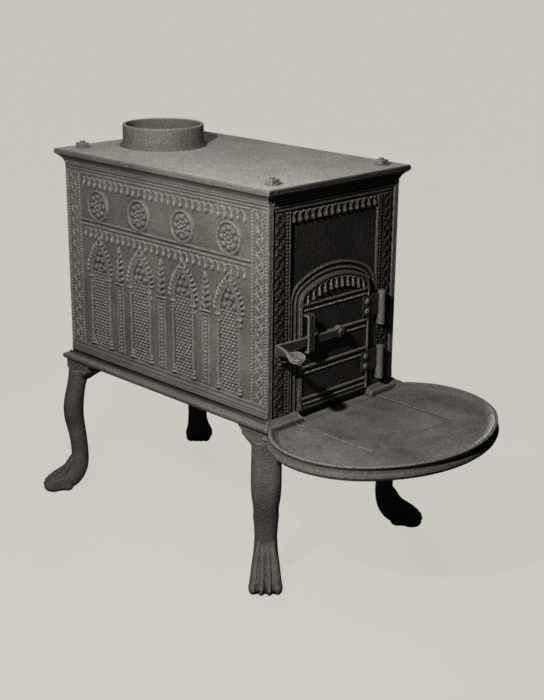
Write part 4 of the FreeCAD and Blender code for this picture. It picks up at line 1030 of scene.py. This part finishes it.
def on_lit_door_rail(face):
    """Whether a face is on a rail of the door, or on its moulding beside the hinges."""
    x, y, z = face.center
    return y < MOULDING_Y and x > DOOR_EDGE_X and z < DOOR_SPRING_Z


def on_shaded_door_edge(face):
    """Whether a face is on the door's moulding beside the latch or round the arch."""
    x, y, z = face.center
    return y < MOULDING_Y and (x < DOOR_EDGE_X or z > DOOR_SPRING_Z)


def on_latch_handle_or_top(face):
    """Whether a face is on the latch's handle or on the top of its bar."""
    return face.center.y < HANDLE_Y or face.normal.z > BAR_FACES_UP


# The leaves of the straps are painted near black as shadow, and their barrels keep the plain wrought iron
for name in ("lower_hinge_strap", "upper_hinge_strap"):
    second_look(name, "black_leaf_wrought", lambda face: face.center.x < BARREL_X)
# Soot and painted shade darken the front of the cornice over the door, and painted shade fills the joint
# between the base plate and the side plates
second_look("top_plate", "sooty_iron", soot_and_shade_on_cornice)
second_look("base_plate", "sooty_border", in_shaded_base_joint)
# Painted highlight lightens the frame, the door's rails and the latch, and painted shade darkens the
# door's moulding beside the latch and round the arch
second_look("front_plate", "rubbed_iron", on_frame)
second_look("fire_door", "rubbed_iron", on_lit_door_rail)
# Painted shade on the door's moulding beside the latch and round the arch
second_look("fire_door", "sooty_border", on_shaded_door_edge)
# Painted highlight: the left faces of the latch's guide take the lighter wrought iron
second_look("latch_guide", "wrought_iron", lambda face: face.normal.x < FACES_LEFT)
# Painted highlight on the upward faces of the latch's bar; its handle takes the lighter wrought iron too
second_look("latch_bar", "wrought_iron", on_latch_handle_or_top)


# Floor, light and camera

BACKDROP = (0.596, 0.584, 0.525)
FLOOR_GLOW = 1.075
FLOOR_LIT = (0.4, 0.39, 0.365)
FLOOR_LIT_SHARE = 0.1  # how much of the seen floor takes the shadow
FLOOR_DIM = (0.07, 0.068, 0.064)
FLOOR_HALF = 30.0
AMBIENT = 0.013
AMBIENT_COLOUR = (1.0, 0.99, 0.97)
LAMP_COLOUR = (1.0, 0.985, 0.96)
# Lamps: name, place, target, size, power, cone
LAMPS = (("key", (-1.1, -0.47, 1.3), (-0.1, -0.15, 0.5), 0.05, 24, 180.0),
         ("overhead", (-0.5, 0.2, 3.4), (0, 0.0, 0.5), 1.4, 10, 180.0),
         ("behind", (1.9, 2.6, 0.42), (0.1, 0.2, 0.42), 0.6, 9, 46.0))
EYE = (-1.6984, -1.67902, 1.1640)
VIEW_ANGLES = (-45.33, 18.21, 0.52)  # azimuth, elevation, lean
LENS = 65.17
SENSOR = 36.0


def floor_material():
    """A pale floor for the camera, with the stove's shadow, that throws little light back."""
    material = bpy.data.materials.new("floor")
    material.use_nodes = True
    tree = material.node_tree
    nodes = tree.nodes
    nodes.clear()
    out = nodes.new("ShaderNodeOutputMaterial")
    seen = nodes.new("ShaderNodeEmission")
    seen.inputs["Color"].default_value = (*BACKDROP, 1)
    seen.inputs["Strength"].default_value = FLOOR_GLOW
    lit = nodes.new("ShaderNodeBsdfDiffuse")
    lit.inputs["Color"].default_value = (*FLOOR_LIT, 1)
    dim = nodes.new("ShaderNodeBsdfDiffuse")
    dim.inputs["Color"].default_value = (*FLOOR_DIM, 1)
    soft = nodes.new("ShaderNodeMixShader")
    soft.inputs["Fac"].default_value = FLOOR_LIT_SHARE
    rays = nodes.new("ShaderNodeLightPath")
    shown = nodes.new("ShaderNodeMixShader")
    link(tree, seen, 0, soft, 1)
    link(tree, lit, 0, soft, 2)
    link(tree, rays, "Is Camera Ray", shown, 0)
    link(tree, dim, 0, shown, 1)
    link(tree, soft, 0, shown, 2)
    link(tree, shown, 0, out, "Surface")
    return material


def floor():
    """The floor, which isn't part of the stove."""
    half = FLOOR_HALF
    corners = [(-half, -half, 0), (half, -half, 0), (half, half, 0), (-half, half, 0)]
    mesh = bpy.data.meshes.new("floor")
    mesh.from_pydata(corners, [], [(0, 1, 2, 3)])
    mesh.materials.append(floor_material())
    piece = bpy.data.objects.new("floor", mesh)
    bpy.context.scene.collection.objects.link(piece)


def world():
    """A pale backdrop for the camera, and a faint light from all round."""
    made = bpy.data.worlds.new("studio")
    bpy.context.scene.world = made
    made.use_nodes = True
    tree = made.node_tree
    nodes = tree.nodes
    nodes.clear()
    out = nodes.new("ShaderNodeOutputWorld")
    ambient = nodes.new("ShaderNodeBackground")
    ambient.inputs["Color"].default_value = (*AMBIENT_COLOUR, 1)
    ambient.inputs["Strength"].default_value = AMBIENT
    seen = nodes.new("ShaderNodeBackground")
    seen.inputs["Color"].default_value = (*BACKDROP, 1)
    rays = nodes.new("ShaderNodeLightPath")
    shown = nodes.new("ShaderNodeMixShader")
    link(tree, rays, "Is Camera Ray", shown, 0)
    link(tree, ambient, 0, shown, 1)
    link(tree, seen, 0, shown, 2)
    link(tree, shown, 0, out, "Surface")


def lamp(name, place, target, size, power, cone):
    """A soft square light that the camera doesn't see."""
    data = bpy.data.lights.new(name, "AREA")
    data.size = size
    data.spread = math.radians(cone)
    data.energy = power
    data.color = LAMP_COLOUR
    item = bpy.data.objects.new(name, data)
    item.location = place
    item.rotation_mode = "QUATERNION"
    item.rotation_quaternion = (Vector(target) - Vector(place)).to_track_quat("-Z", "Y")
    item.visible_camera = False
    bpy.context.scene.collection.objects.link(item)


def camera():
    """The camera at the angle of the photograph."""
    data = bpy.data.cameras.new("camera")
    data.lens = LENS
    data.sensor_width = SENSOR
    data.clip_end = 200.0
    item = bpy.data.objects.new("camera", data)
    bpy.context.scene.collection.objects.link(item)
    bpy.context.scene.camera = item
    azimuth, elevation, lean = (math.radians(angle) for angle in VIEW_ANGLES)
    level = math.cos(elevation)
    back = Vector((math.sin(azimuth) * level, -math.cos(azimuth) * level, math.sin(elevation)))
    right = Vector((0, 0, 1)).cross(back).normalized()
    up = back.cross(right)
    across = right * math.cos(lean) + up * math.sin(lean)
    above = up * math.cos(lean) - right * math.sin(lean)
    turn = Matrix((across, above, back)).transposed().to_4x4()
    item.matrix_world = Matrix.Translation(EYE) @ turn


floor()
world()
for row in LAMPS:
    lamp(*row)
camera()
bpy.context.scene.view_settings.view_transform = "Standard"
